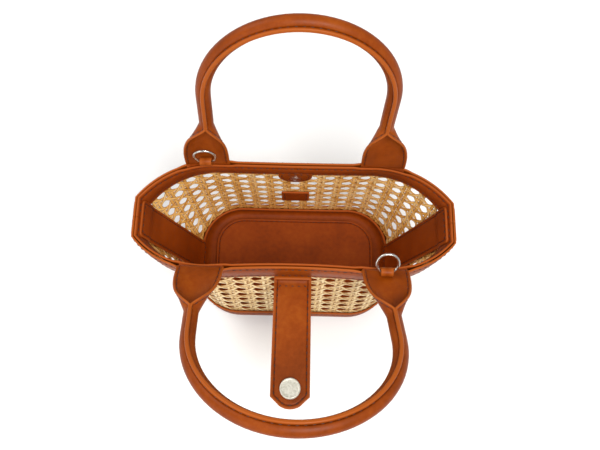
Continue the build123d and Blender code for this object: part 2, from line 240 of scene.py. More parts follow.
def add_node(tree, kind, settings=None, stops=(), **inputs):
    """Add a node, set its properties and colour stops, and give inputs a value or a link."""
    node = tree.nodes.new(kind)
    for key, value in (settings or {}).items():
        setattr(node, key, value)
    elements = node.color_ramp.elements if stops else ()
    while len(elements) < len(stops):
        elements.new(0.5)
    for element, (position, colour) in zip(elements, stops):
        element.position = position
        element.color = linear(colour)
    for key, value in inputs.items():
        key = key.replace("_", " ")
        socket = node.inputs[int(key[3:])] if key.startswith("in ") else node.inputs[key]
        if isinstance(value, bpy.types.NodeSocket):
            tree.links.new(value, socket)
        else:
            socket.default_value = value
    return node


def new_material(name, roughness, **fixed):
    """A material with one Principled shader; returns material, tree and shader."""
    material = bpy.data.materials.new(name)
    material.use_nodes = True
    tree = material.node_tree
    shader = tree.nodes["Principled BSDF"]
    shader.inputs["Roughness"].default_value = roughness
    for key, value in fixed.items():
        shader.inputs[key.replace("_", " ")].default_value = value
    return material, tree, shader


def per_mm(size):
    """The texture scale whose features are about a size in millimetres."""
    return 1.0 / (size * MM)


# %% Mesh helpers
WELD = 0.004 * MM             # points closer than this are one point


def make_piece(name, vertices, faces, material, attributes=None):
    """A closed mesh at the origin from vertices in millimetres, its faces turned outwards."""
    mesh = bpy.data.meshes.new(name)
    mesh.from_pydata((np.asarray(vertices, float) * MM).tolist(), [], [list(f) for f in faces])
    for key, values in (attributes or {}).items():
        layer = mesh.attributes.new(key, "FLOAT", "POINT")
        layer.data.foreach_set("value", np.asarray(values, np.float32))
    work = bmesh.new()
    work.from_mesh(mesh)
    bmesh.ops.remove_doubles(work, verts=work.verts, dist=WELD)
    bmesh.ops.recalc_face_normals(work, faces=work.faces)
    work.to_mesh(mesh)
    work.free()
    mesh.shade_smooth()
    mesh.materials.append(material)
    piece = bpy.data.objects.new(name, mesh)
    bpy.context.scene.collection.objects.link(piece)
    return piece


def skin(grid, closed_rows=False):
    """Vertices and faces over rows of closed loops; the ends are capped unless rows close."""
    rows, loop = grid.shape[:2]
    index = np.arange(rows * loop).reshape(rows, loop)
    faces = []
    for a in range(rows if closed_rows else rows - 1):
        one, two = index[a], index[(a + 1) % rows]
        faces += [(one[k], one[(k + 1) % loop], two[(k + 1) % loop], two[k]) for k in range(loop)]
    if not closed_rows:
        faces += [tuple(index[0][::-1]), tuple(index[-1])]
    return grid.reshape(-1, 3), faces


def smooth_step(value, low, high):
    """0 below low, 1 above high, and an easy curve between."""
    t = np.clip((np.asarray(value, float) - low) / (high - low), 0, 1)
    return t * t * (3 - 2 * t)


def finish_piece(piece, body, slot, *nodes):
    """Attach a piece to the body it moves with and hide the solids it stands for; slot is not used."""
    if body:
        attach(piece, body)
    if nodes:
        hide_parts(*nodes)
    size = len(piece.data.polygons)
    print(f"{piece.name}: {size} faces, rides on {body or 'a blend'}")


def add_piece(name, solid, material, body, slot, node, marks=None):
    """Make a piece from (vertices, faces) that stands for one solid and moves with one body."""
    finish_piece(make_piece(name, *solid, material, attributes=marks), body, slot, node)


# %% [markdown]
# ## Camera, floor and light
# The bag is looked at from high in front, so both the outside of the front
# wall and the inside of the rear wall show.  A plain pale floor catches a soft
# shadow, and broad lights give leather the long gentle highlights by which it
# is known.

# %% Camera
TARGET = np.array((4.06, 11.1, 70.0))
CAMERA_DISTANCE = 480.0
CAMERA_ELEVATION = math.radians(72.1)
CAMERA_ROLL = math.radians(1.21)
SENSOR = 36.0
LENS_PER_SENSOR = 1.06


def world_matrix(right, up, back, place):
    """An object's matrix from its own three axes and its place in metres."""
    rows = np.eye(4)
    rows[:3] = np.column_stack((right, up, back, place))
    return Matrix(rows)


camera_data = bpy.data.cameras.new("Camera")
camera_data.sensor_width = SENSOR
camera_data.lens = SENSOR * LENS_PER_SENSOR
camera = bpy.data.objects.new("Camera", camera_data)
forward = np.array((0, math.cos(CAMERA_ELEVATION), -math.sin(CAMERA_ELEVATION)))
flat_right = np.array((1.0, 0, 0))
flat_up = np.cross(flat_right, forward)
camera_right = math.cos(CAMERA_ROLL) * flat_right + math.sin(CAMERA_ROLL) * flat_up
camera_up = np.cross(camera_right, forward)
camera_place = (TARGET - forward * CAMERA_DISTANCE) * MM
camera.matrix_world = world_matrix(camera_right, camera_up, -forward, camera_place)
bpy.context.scene.collection.objects.link(camera)
bpy.context.scene.camera = camera
bpy.context.scene.view_settings.view_transform = "Standard"
print("lens", round(camera_data.lens, 2), "mm")

# %% Floor and lights
floor_material, _, floor_shader = new_material("white_paper_sweep", 0.9)
floor_shader.inputs["Base Color"].default_value = linear("#f6f5f3")
floor_mesh = bpy.data.meshes.new("floor")
FLOOR_REACH = 3.0
FLOOR_DROP = 0.0002           # keeps the floor clear of the base, in metres
corners = [(-1, -1), (1, -1), (1, 1), (-1, 1)]
floor_mesh.from_pydata(
    [(x * FLOOR_REACH, y * FLOOR_REACH, -FLOOR_DROP) for x, y in corners], [], [(0, 1, 2, 3)]
)
floor_mesh.materials.append(floor_material)
floor = bpy.data.objects.new("floor", floor_mesh)
bpy.context.scene.collection.objects.link(floor)


def area_light(name, place, aim_height, size, power, colour):
    """A round soft light at a place in metres, aimed at a height over the floor's middle."""
    data = bpy.data.lights.new(name, "AREA")
    data.shape = "DISK"
    data.size = size
    data.energy = power
    data.color = linear(colour)[:3]
    lamp = bpy.data.objects.new(name, data)
    back = np.array(place, float) - (0, 0, aim_height)
    back /= np.linalg.norm(back)
    side = np.cross((0, 0, 1), back)
    side /= np.linalg.norm(side)
    lamp.matrix_world = world_matrix(side, np.cross(back, side), back, place)
    bpy.context.scene.collection.objects.link(lamp)


area_light("key_front", (0.25, -0.5, 1.3), 0.06, 0.6, 16, "#fffefc")
area_light("fill_back_left", (-0.8, 0.5, 1.0), 0.08, 0.7, 5, "#ffffff")
area_light("fill_front_left", (-0.9, -0.9, 0.6), 0.08, 0.9, 4, "#ffffff")
world = bpy.data.worlds.new("soft_room")
world.use_nodes = True
background = world.node_tree.nodes["Background"]
background.inputs["Color"].default_value = linear("#f4f6fa")
background.inputs["Strength"].default_value = 0.5
bpy.context.scene.world = world
print("lights", [light.name for light in bpy.data.lights])

# %% [markdown]
# ## Finishes
# The bag shows four real finishes: vegetable-tanned leather, split rattan cane,
# waxed thread and nickel plate.  Fibre board, cord and magnet plate lie hidden.
# Leather gets its look from three sizes of detail: clouds of colour a few
# centimetres wide, creases a few millimetres wide, and the fine grain.  The
# rounded edges are painted paler, a painted highlight where light catches their
# rounding, and each mesh says how close a point is to its edge in an
# attribute, which follows the shape better than any texture could.


# %% Vegetable-tanned leather
LEATHER_SHEEN = 0.14          # oiled leather shines less than plastic of the same smoothness


def leather_finish(name, dark, mid, light, edge, roughness, grain):
    """Dyed leather rolled smooth: uneven colour, edges painted paler as a painted highlight, a low broad gloss."""
    material, tree, shader = new_material(name, roughness, IOR=1.5)
    place = add_node(tree, "ShaderNodeTexCoord").outputs["Object"]
    near_edge, groove = (
        add_node(tree, "ShaderNodeAttribute", {"attribute_name": mark}).outputs["Fac"]
        for mark in ("edge", "groove")
    )
    clouds = add_node(
        tree, "ShaderNodeTexNoise", Vector=place, Scale=per_mm(26.0), Detail=3.0, Roughness=0.6
    ).outputs["Fac"]
    mottle = add_node(
        tree, "ShaderNodeTexNoise", Vector=place, Scale=per_mm(3.2), Detail=4.0, Roughness=0.65
    ).outputs["Fac"]
    mixed = add_node(
        tree, "ShaderNodeMix", {"data_type": "FLOAT"}, in_0=0.38, in_2=clouds, in_3=mottle
    ).outputs[0]
    body_colour = add_node(
        tree, "ShaderNodeValToRGB", stops=((0.3, dark), (0.5, mid), (0.72, light)), Fac=mixed
    ).outputs["Color"]
    # Painted highlight: near each edge the colour is blended to the paler edge colour, where light catches the
    # rounded edge.
    edge_highlighted = add_node(
        tree, "ShaderNodeMix", {"data_type": "RGBA"}, in_0=near_edge, in_6=body_colour,
        in_7=linear(edge)
    ).outputs[2]
    coloured = add_node(
        tree, "ShaderNodeMix", {"data_type": "RGBA", "blend_type": "MULTIPLY"}, in_0=groove,
        in_6=edge_highlighted, in_7=linear("#b89a8c")
    ).outputs[2]
    tree.links.new(coloured, shader.inputs["Base Color"])
    pebble = add_node(
        tree, "ShaderNodeTexVoronoi", {"feature": "SMOOTH_F1"}, Vector=place, Scale=per_mm(grain)
    ).outputs["Distance"]
    crease = add_node(
        tree, "ShaderNodeTexNoise", Vector=place, Scale=per_mm(5.0), Detail=5.0, Roughness=0.7
    ).outputs["Fac"]
    fine = add_node(
        tree, "ShaderNodeBump", Strength=0.35, Distance=0.05 * MM, Height=pebble
    ).outputs["Normal"]
    coarse = add_node(
        tree, "ShaderNodeBump", Strength=0.3, Distance=0.35 * MM, Height=crease, Normal=fine
    ).outputs["Normal"]
    tree.links.new(coarse, shader.inputs["Normal"])
    gloss = add_node(
        tree, "ShaderNodeMapRange", Value=mottle, From_Min=0.3, From_Max=0.7,
        To_Min=roughness - 0.06, To_Max=roughness + 0.1
    ).outputs["Result"]
    tree.links.new(gloss, shader.inputs["Roughness"])
    shader.inputs["Specular IOR Level"].default_value = LEATHER_SHEEN
    return material


leather = leather_finish(
    "smooth_tan_leather", "#733004", "#873a05", "#98490b", "#a35016", 0.42, 0.8
)
lining_leather = leather_finish(
    "matt_lining_leather", "#742e03", "#883803", "#984309", "#a04b14", 0.55, 0.9
)
base_leather = leather_finish(
    "pebbled_base_leather", "#6a2a03", "#7d3404", "#8d400a", "#984914", 0.42, 1.4
)
print("leathers", leather.name, lining_leather.name, base_leather.name)


# %% Split rattan cane
def cane_finish():
    """Rattan peel with fibres along each strand: a hard glossy bark side, a back painted a brighter gold as
    painted bounce light, and painted shade at each strand's edges.
    """
    material, tree, shader = new_material("split_rattan_cane", 0.42, IOR=1.5)
    place = add_node(tree, "ShaderNodeTexCoord").outputs["Object"]
    shade, back, along, across = (
        add_node(tree, "ShaderNodeAttribute", {"attribute_name": mark}).outputs["Fac"]
        for mark in ("strand", "back", "along", "across")
    )
    # Fibres run along a strand: many across it, few along it, and new ones on each strand.
    stretched = {
        axis: add_node(tree, "ShaderNodeMath", {"operation": "MULTIPLY"}, in_0=value, in_1=times)
        .outputs[0]
        for axis, value, times in (("X", across, 6.0), ("Y", along, 0.12), ("Z", shade, 90.0))
    }
    fibre_place = add_node(tree, "ShaderNodeCombineXYZ", **stretched).outputs[0]
    fibres = add_node(
        tree, "ShaderNodeTexNoise", Vector=fibre_place, Scale=1.0, Detail=4.0, Roughness=0.7
    ).outputs["Fac"]
    blotches = add_node(
        tree, "ShaderNodeTexNoise", Vector=place, Scale=per_mm(2.4), Detail=3.0, Roughness=0.7
    ).outputs["Fac"]
    tone = add_node(
        tree, "ShaderNodeMix", {"data_type": "FLOAT"}, in_0=0.5, in_2=fibres, in_3=blotches
    ).outputs[0]
    lighter = add_node(
        tree, "ShaderNodeMath", {"operation": "MULTIPLY_ADD"}, in_0=shade, in_1=0.3, in_2=-0.15
    ).outputs[0]
    tone = add_node(
        tree, "ShaderNodeMath", {"operation": "ADD"}, in_0=tone, in_1=lighter
    ).outputs[0]
    # Painted light: the back of each strand, which faces into the bag, gets brighter and more golden stops than
    # the bark, standing in for warm light thrown back by the leather inside.
    bark_stops = ((0.3, "#b08545"), (0.42, "#d6b16e"), (0.55, "#e4c88e"), (0.75, "#f0dcae"))
    bounce_lit_back_stops = ((0.3, "#c98a33"), (0.42, "#eeb65a"), (0.55, "#fcd07e"), (0.75, "#ffe8b0"))
    bark, inner = (
        add_node(tree, "ShaderNodeValToRGB", stops=stops, Fac=tone).outputs["Color"]
        for stops in (bark_stops, bounce_lit_back_stops)
    )
    colour = add_node(
        tree, "ShaderNodeMix", {"data_type": "RGBA"}, in_0=back, in_6=bark, in_7=inner
    ).outputs[2]
    # Painted shade: each strand is darkened towards its edges, where it tucks under its neighbours.
    from_middle = add_node(
        tree, "ShaderNodeMath", {"operation": "ABSOLUTE"}, in_0=across
    ).outputs[0]
    strand_edge_shade = add_node(
        tree, "ShaderNodeMapRange", Value=from_middle, From_Min=0.2, From_Max=0.5
    ).outputs["Result"]
    colour = add_node(
        tree, "ShaderNodeMix", {"data_type": "RGBA", "blend_type": "MULTIPLY"}, in_0=strand_edge_shade,
        in_6=colour, in_7=linear("#a87a48")
    ).outputs[2]
    tree.links.new(colour, shader.inputs["Base Color"])
    ridges = add_node(
        tree, "ShaderNodeBump", Strength=0.4, Distance=0.08 * MM, Height=fibres
    ).outputs["Normal"]
    tree.links.new(ridges, shader.inputs["Normal"])
    return material


cane = cane_finish()


# %% Thread, nickel and board
def plain_finish(name, colour_stops, size, roughness, bump, **fixed):
    """A finish with one size of mottle in colour and relief."""
    material, tree, shader = new_material(name, roughness, **fixed)
    place = add_node(tree, "ShaderNodeTexCoord").outputs["Object"]
    noise = add_node(
        tree, "ShaderNodeTexNoise", Vector=place, Scale=per_mm(size), Detail=3.0
    ).outputs["Fac"]
    colour = add_node(tree, "ShaderNodeValToRGB", stops=colour_stops, Fac=noise).outputs["Color"]
    tree.links.new(colour, shader.inputs["Base Color"])
    relief = add_node(
        tree, "ShaderNodeBump", Strength=0.4, Distance=bump * MM, Height=noise
    ).outputs["Normal"]
    tree.links.new(relief, shader.inputs["Normal"])
    return material


# Waxed polyester thread: dark brown with a faint sheen, so each stitch reads as a dash.
thread = plain_finish("waxed_thread", ((0.35, "#2a0e03"), (0.65, "#431a08")), 0.4, 0.55, 0.05)
# Nickel plate over zinc: near-white and softly bright, with casting ripples.
nickel = plain_finish(
    "nickel_plate", ((0.3, "#cfcdc6"), (0.7, "#e3e1da")), 1.6, 0.24, 0.03, Metallic=1.0
)
# Satin-lacquered nickel cap: the lacquer hides most of the metal, so it stays pale.
satin_nickel = plain_finish(
    "satin_nickel_cap", ((0.35, "#c9c5b2"), (0.65, "#e6e2d3")), 1.3, 0.42, 0.12, Metallic=0.4
)
# Fibre board, cotton cord and magnet plate are dull, and all but hidden inside the leather.
board_finish = plain_finish("fibre_board", ((0.3, "#7a5b3c"), (0.7, "#94714c")), 1.5, 0.8, 0.1)
cord_finish = plain_finish("cotton_cord", ((0.3, "#b8a98c"), (0.7, "#d2c5aa")), 0.8, 0.85, 0.1)
magnet_finish = plain_finish(
    "magnet_plate", ((0.3, "#6f6f70"), (0.7, "#868688")), 1.2, 0.35, 0.03, Metallic=1.0
)
print("finishes", len(bpy.data.materials))

# %% [markdown]
# ## Two growing rules
# A stitch row and a strand of cane both follow a path that lies on a surface.
# Geometry Nodes suit that: the script draws each path as a chain of points
# which know the surface's outward direction, and one tree turns any number of
# paths into stitches or into flat strands.  The result is baked to a plain
# mesh at once, so nothing stays live.


# %% Tree inputs and paths
def new_tree(name, *sizes):
    """A geometry tree with a path input, one number for each size, and a finish."""
    tree = bpy.data.node_groups.new(name, "GeometryNodeTree")
    tree.interface.new_socket("Path", in_out="INPUT", socket_type="NodeSocketGeometry")
    for key in sizes:
        tree.interface.new_socket(key, in_out="INPUT", socket_type="NodeSocketFloat")
    tree.interface.new_socket("Finish", in_out="INPUT", socket_type="NodeSocketMaterial")
    tree.interface.new_socket("Result", in_out="OUTPUT", socket_type="NodeSocketGeometry")
    return tree, tree.nodes.new("NodeGroupInput").outputs


def end_tree(tree, geometry, finish):
    """The same ending for each tree: real geometry, smooth shading, one finish."""
    for kind, extra in (
        ("GeometryNodeRealizeInstances", {}), ("GeometryNodeSetShadeSmooth", {}),
        ("GeometryNodeSetMaterial", {"Material": finish}),
    ):
        geometry = add_node(tree, kind, Geometry=geometry, **extra).outputs[0]
    tree.links.new(geometry, tree.nodes.new("NodeGroupOutput").inputs[0])


def grow(name, tree, paths, material, sizes):
    """Run a tree over paths of (points in mm, outward directions, extra attributes)."""
    points, edges, attributes = [], [], {}
    for line, outward, extra in paths:
        first = len(points)
        points += (np.asarray(line) * MM).tolist()
        edges += [(first + k, first + k + 1) for k in range(len(line) - 1)]
        attributes.setdefault("outward", []).append(outward)
        for key, values in extra.items():
            attributes.setdefault(key, []).append(np.broadcast_to(values, len(line)))
    mesh = bpy.data.meshes.new(name + "_paths")
    mesh.from_pydata(points, edges, [])
    for key, values in attributes.items():
        values = np.concatenate(values).astype(np.float32)
        kind, field = ("FLOAT_VECTOR", "vector") if key == "outward" else ("FLOAT", "value")
        mesh.attributes.new(key, kind, "POINT").data.foreach_set(field, values.ravel())
    source = bpy.data.objects.new(name + "_paths", mesh)
    bpy.context.scene.collection.objects.link(source)
    modifier = source.modifiers.new(name, "NODES")
    modifier.node_group = tree
    sockets = {
        item.name: item.identifier for item in tree.interface.items_tree if item.in_out == "INPUT"
    }
    for key, value in sizes.items():
        modifier[sockets[key]] = value * MM
    modifier[sockets["Finish"]] = material
    graph = bpy.context.evaluated_depsgraph_get()
    result = bpy.data.meshes.new_from_object(
        source.evaluated_get(graph), preserve_all_data_layers=True, depsgraph=graph
    )
    result.name = name
    bpy.data.objects.remove(source)
    if "outward" in result.attributes:
        result.attributes.remove(result.attributes["outward"])
    piece = bpy.data.objects.new(name, result)
    bpy.context.scene.collection.objects.link(piece)
    print(f"{name}: {len(paths)} paths, {len(result.polygons)} faces")
    return piece


# %% The tree that sews a row of stitches
sew_tree, sizes_in = new_tree("saddle_stitch_row", "Pitch", "Length", "Thread")
chain = add_node(sew_tree, "GeometryNodeMeshToCurve", Mesh=sizes_in["Path"])
holes = add_node(
    sew_tree, "GeometryNodeResampleCurve", {"mode": "LENGTH"}, Curve=chain.outputs[0],
    Length=sizes_in["Pitch"]
)
run = add_node(sew_tree, "GeometryNodeInputTangent").outputs[0]
outward = add_node(
    sew_tree, "GeometryNodeInputNamedAttribute", {"data_type": "FLOAT_VECTOR"}, Name="outward"
).outputs["Attribute"]
turn = add_node(
    sew_tree, "FunctionNodeAxesToRotation", {"primary_axis": "X", "secondary_axis": "Z"},
    Primary_Axis=run, Secondary_Axis=outward
)
bead = add_node(sew_tree, "GeometryNodeMeshUVSphere", Segments=6, Rings=4, Radius=0.5)
bead_size = add_node(
    sew_tree, "ShaderNodeCombineXYZ", X=sizes_in["Length"], Y=sizes_in["Thread"],
    Z=sizes_in["Thread"]
)
stitch = add_node(
    sew_tree, "GeometryNodeTransform", Geometry=bead.outputs[0], Scale=bead_size.outputs[0]
)
vary = add_node(
    sew_tree, "FunctionNodeRandomValue", {"data_type": "FLOAT_VECTOR"}, in_0=(0.86, 0.85, 0.85),
    in_1=(1.08, 1.1, 1.1), Seed=7
)
sewn = add_node(
    sew_tree, "GeometryNodeInstanceOnPoints", Points=holes.outputs[0], Instance=stitch.outputs[0],
    Rotation=turn.outputs[0], Scale=vary.outputs[0]
)
end_tree(sew_tree, sewn.outputs[0], sizes_in["Finish"])

STITCH = {"Pitch": 4.2, "Length": 2.3, "Thread": 0.8}


def sew(name, paths, body):
    """Stitches along paths, on one body, in waxed thread."""
    full = [(line, outward, {}) for line, outward in paths]
    piece = grow(name, sew_tree, full, thread, STITCH)
    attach(piece, body)


# %% The tree that turns a path into a flat strand
strand_tree, sizes_in = new_tree("flat_strand", "Width", "Thickness")
chain = add_node(strand_tree, "GeometryNodeMeshToCurve", Mesh=sizes_in["Path"])
outward = add_node(
    strand_tree, "GeometryNodeInputNamedAttribute", {"data_type": "FLOAT_VECTOR"}, Name="outward"
).outputs["Attribute"]
laid = add_node(
    strand_tree, "GeometryNodeSetCurveNormal", {"mode": "FREE"}, Curve=chain.outputs[0],
    Normal=outward
)
circle = add_node(strand_tree, "GeometryNodeCurvePrimitiveCircle", Resolution=8, Radius=0.5)
where = add_node(
    strand_tree, "ShaderNodeSeparateXYZ",
    Vector=add_node(strand_tree, "GeometryNodeInputPosition").outputs[0]
).outputs
on_back = add_node(
    strand_tree, "FunctionNodeCompare", {"data_type": "FLOAT", "operation": "LESS_THAN"},
    A=where["X"], B=0.0
).outputs[0]
marked = circle
for mark, value in (("back", on_back), ("across", where["Y"])):
    marked = add_node(
        strand_tree, "GeometryNodeStoreNamedAttribute", {"data_type": "FLOAT", "domain": "POINT"},
        Geometry=marked.outputs[0], Name=mark, Value=value
    )
strand_size = add_node(
    strand_tree, "ShaderNodeCombineXYZ", X=sizes_in["Thickness"], Y=sizes_in["Width"], Z=1.0
)
profile = add_node(
    strand_tree, "GeometryNodeTransform", Geometry=marked.outputs[0], Scale=strand_size.outputs[0]
)
swept = add_node(
    strand_tree, "GeometryNodeCurveToMesh", Curve=laid.outputs[0],
    Profile_Curve=profile.outputs[0], Fill_Caps=True
)
end_tree(strand_tree, swept.outputs[0], sizes_in["Finish"])
print("trees", [group.name for group in bpy.data.node_groups])

# %% [markdown]
# ## Cane webbing
# Six-way webbing is woven flat: pairs of upright strands, pairs of level
# strands, and two sets of diagonals that close the holes to octagons.  On the
# bag the flat sheet is bent round the corners, so its columns stay parallel
# while the wall fans out.  The script therefore unrolls the wall onto a flat
# plane, draws the weave there, and rolls it up again.  Each strand rises and
# dips as it passes the others, which is what makes the surface sparkle.

# %% Unroll a wall
PITCH = 12.7                  # half-inch webbing
STRAND_WIDTH = 2.55
STRAND_THICK = 0.6
PAIR_HALF = 1.6               # from the middle of a pair to each strand
WEAVE_RISE = 0.27             # how far uprights and levels bend round each other
DIAGONAL_RISE = 0.42
SHEET_MIDDLE = -CANE / 2
SHEET_REACH, SHEET_TALL = 190.0, 150.0
STEP = PITCH / 8
JITTER = 0.12                 # no weaver lays a strand quite straight
UPRIGHTS, LEVELS, DIAGONALS = range(-14, 14), range(-1, 12), range(-32, 32)
CANE_FOOT, CANE_UNDER_RIM, CANE_END = 12.2, 9.0, 8.0    # where leather hides the cut ends


def third_corner(a, b, to_a, to_b, side):
    """A flat point at set distances from two flat points, on one side of them."""
    base = b - a
    length = math.hypot(*base)
    along = (to_a ** 2 - to_b ** 2 + length ** 2) / (2 * length)
    height = math.sqrt(max(to_a ** 2 - along ** 2, 0.0))
    unit = base / length
    return a + unit * along + np.array((unit[1], -unit[0])) * height * side


def gap(a, b):
    """Straight distance between two points."""
    return float(np.linalg.norm(a - b))


def unroll(wall):
    """Flat places of the lower and upper end of every straight line of a wall."""
    middle = LINES // 2
    low, high = np.zeros((LINES, 2)), np.zeros((LINES, 2))
    high[middle] = (0, gap(wall.low[middle], wall.high[middle]))
    for step, stop in ((1, LINES - 1), (-1, 0)):
        for line in range(middle, stop, step):
            new = line + step
            low[new] = third_corner(
                low[line], high[line], gap(wall.low[line], wall.low[new]),
                gap(wall.high[line], wall.low[new]), step
            )
            high[new] = third_corner(
                low[new], high[line], gap(wall.low[new], wall.high[new]),
                gap(wall.high[line], wall.high[new]), step
            )
    return low, high


def roll_up(wall, flat, points, stand_off):
    """Take flat points back to the wall; also says which line and height each is at."""
    low, high = flat
    way = high - low
    away = points[:, None] - low[None]
    side = (away[..., 0] * way[:, 1] - away[..., 1] * way[:, 0]) / np.linalg.norm(way, axis=1)
    first = np.clip((side > 0).sum(axis=1) - 1, 0, LINES - 2)
    rows = np.arange(len(points))
    near, far = side[rows, first], side[rows, first + 1]
    part = near / np.maximum(near - far, 1e-9)
    inside = (part > -0.001) & (part < 1.001)
    foot, head = (between(rows, first, part[:, None]) for rows in flat)
    rise = ((points - foot) * (head - foot)).sum(1) / ((head - foot) ** 2).sum(1)
    z = WALL_FOOT + rise * (RIM_HEIGHT + ABOVE_RIM - WALL_FOOT)
    line = first + np.clip(part, 0, 1)
    return wall.place(line, z, stand_off), line, z, inside


flat_walls = {side: unroll(wall) for side, wall in walls.items()}
print("unrolled width at the rim", round(float(np.ptp(flat_walls[REAR][1][:, 0])), 1), "mm")


# %% Draw the weave
def pair_wave(distance):
    """Rise of a strand round the pair that it crosses, by distance from the pair's middle."""
    u = distance / PAIR_HALF
    inner = np.sin(np.pi * u / 2)
    outer = np.sign(u) * np.cos(np.pi / 2 * np.clip((np.abs(u) - 1) / 1.5, 0, 1)) ** 2
    return np.where(np.abs(u) <= 1, inner, outer)


def from_pair(place):
    """Distance from each place to the middle of its nearest pair."""
    return place - (np.floor(place / PITCH) + 0.5) * PITCH


def weave_paths(wall, flat, seed):
    """Every strand of one wall as paths on the wall."""
    draw = random.Random(seed)
    run = np.arange(-SHEET_REACH, SHEET_REACH, STEP)
    rise = np.arange(-10.0, SHEET_TALL, STEP)
    strands = []
    for upright, numbers, way in ((True, UPRIGHTS, rise), (False, LEVELS, run)):
        for k in numbers:
            for sign in (-1, 1):
                fixed = np.full(way.shape, (k + 0.5) * PITCH + sign * PAIR_HALF)
                height = WEAVE_RISE * sign * pair_wave(from_pair(way))
                if upright:
                    strands.append((np.column_stack((fixed, way)), height))
                else:
                    strands.append((np.column_stack((way, fixed)), -height))
    for k in DIAGONALS:
        for tilt in (1, -1):
            points = np.column_stack((tilt * (rise - (k + 0.5) * PITCH), rise))
            strands.append((points, DIAGONAL_RISE * tilt * np.cos(2 * np.pi * rise / PITCH)))
    paths = []
    for points, height in strands:
        points = points + draw.uniform(-JITTER, JITTER)
        stand_off = SHEET_MIDDLE + height
        place, line, z, inside = roll_up(wall, flat, points, stand_off)
        top = rim_line(place[:, 0], CANE_UNDER_RIM)
        keep = inside & (z > CANE_FOOT) & (z < top) & (np.abs(place[:, 1]) > CANE_END)
        outward = wall.place(line, z, stand_off + 1.0) - place
        along = np.arange(len(points)) * STEP
        tone = draw.random()
        starts = np.flatnonzero(keep & ~np.r_[False, keep[:-1]])
        ends = np.flatnonzero(keep & ~np.r_[keep[1:], False])
        for part in (slice(a, b + 1) for a, b in zip(starts, ends) if b - a >= 2):
            paths.append((place[part], outward[part], {"along": along[part], "strand": tone}))
    return paths


for side, side_name, seed in ((FRONT, "front", 11), (REAR, "rear", 23)):
    paths = weave_paths(walls[side], flat_walls[side], seed)
    webbing = grow(
        f"cane_webbing_{side_name}", strand_tree, paths, cane,
        {"Width": STRAND_WIDTH, "Thickness": STRAND_THICK}
    )
    finish_piece(webbing, "bag", "cane", f"cane_panel_{side_name}")

# %% [markdown]
# ## Rim bands
# Two leather bands clamp the top of the webbing, one outside and one inside.
# Their cut edges are skived thin, burnished and drawn together over the cane,
# and they part again where a handle leaf is sewn in between them.  Each band
# is one cross-section carried along the wall, so it follows every bend.

# %% Rim bands with burnished edges
OUTER_BAND = 17.0
INNER_BAND = 15.0
LEAF_MIDDLE = 60.0
LEAF_HALF = 15.5
PINCH = 0.62                  # how far each band's top edge leans over the cane
BAND_LINES = np.linspace(0, LINES - 1, 2 * LINES)


def band_section(height, bulge=0.12):
    """Cross-section of a band as (distance out from the cane, distance below the rim)."""
    face = [
        (0.0, 1.3), (0.22, 0.45), (0.7, 0.05), (1.15, 0.12), (1.5, 0.6), (1.66, 1.4), (1.6, 2.3),
        (1.42, 2.6), (1.4, 2.9), (1.58, 3.2), (1.6 + bulge, height * 0.45), (1.6, height - 3.3),
        (1.42, height - 3.0), (1.4, height - 2.7), (1.6, height - 2.4), (1.66, height - 1.3),
        (1.5, height - 0.45), (1.1, height - 0.06), (0.5, height), (0.02, height - 0.3),
        (0.0, height * 0.5),
    ]
    return np.array(face)


def rim_band(name, side, inner, height, material, node):
    """One band along the front or rear wall."""
    wall = walls[side]
    section = band_section(height)
    at_x = wall.place(BAND_LINES, BAND_LEVEL)[:, 0]
    together = smooth_step(np.abs(np.abs(at_x) - LEAF_MIDDLE), LEAF_HALF, LEAF_HALF + 6)
    drawn = (1 - smooth_step(section[:, 1], 0, 5.0)) * PINCH * together[:, None]
    out, below, lines = (
        np.broadcast_to(values, drawn.shape) for values in (*section.T, BAND_LINES[:, None])
    )
    stand_off = (-CANE - out + drawn) if inner else (out - drawn)
    solid = skin(wall.under_rim(lines, below, stand_off))
    from_edge = np.minimum(below, height - below).ravel()
    marks = {
        "edge": 1 - smooth_step(from_edge, 0.4, 1.4),
        "groove": (np.abs(from_edge - 2.8) < 0.25) * 1.0,
    }
    add_piece(name, solid, material, "bag", "leather", node, marks)
    rows = []
    sewn = BAND_LINES[4:-4]
    for depth, lift in ((2.75, 1.5 - PINCH * 0.3), (height - 2.85, 1.5)):
        off, away = (-CANE - lift, -1) if inner else (lift, 1)
        level = np.full(sewn.shape, depth)
        points = wall.under_rim(sewn, level, off)
        rows.append((points, wall.under_rim(sewn, level, off + away) - points))
    return rows


band_rows = []
for side, side_name in ((FRONT, "front"), (REAR, "rear")):
    for where, height, material in (
        ("outer", OUTER_BAND, leather), ("inner", INNER_BAND, lining_leather)
    ):
        band_rows += rim_band(
            f"rim_binding_{where}_{side_name}", side, where == "inner", height, material,
            f"rim_band_{where}_{side_name}"
        )
sew("rim_band_stitches", band_rows, "bag")

# %% [markdown]
# ## Base and lining
# The base is a shallow leather tray pressed over a board, with a rounded lower
# edge.  A second band lines the foot of the wall inside and turns in over the
# floor.  Both are rings: a section carried once round the outline, which
# changes shape a little with height.


# %% Rings round the outline
def full_outline(z, offset):
    """Points once round the bag at a height, without doubles."""
    rear = half_outline(z, offset)
    front = rear[::-1] * (1, -1)
    return np.vstack((rear, front[1:-1]))


def level_ring(z, offset):
    """The outline at one height, as places."""
    flat = full_outline(z, offset)
    return np.column_stack((flat, np.full(len(flat), z)))


def ring_piece(name, section, material, marks, node):
    """A closed ring: the section is a loop of (offset, height)."""
    rings = np.array([level_ring(z, offset) for offset, z in section])
    spread = {key: np.repeat(values, rings.shape[1]) for key, values in marks.items()}
    add_piece(name, skin(rings, closed_rows=True), material, "bag", "leather", node, spread)


def rounded(radius, offset, floor, steps):
    """Offsets and heights of a rolled lower edge, from the floor up."""
    return [
        (offset - radius * (1 - math.sin(a)), floor + radius * (1 - math.cos(a)))
        for a in np.linspace(0, math.pi / 2, steps)
    ]


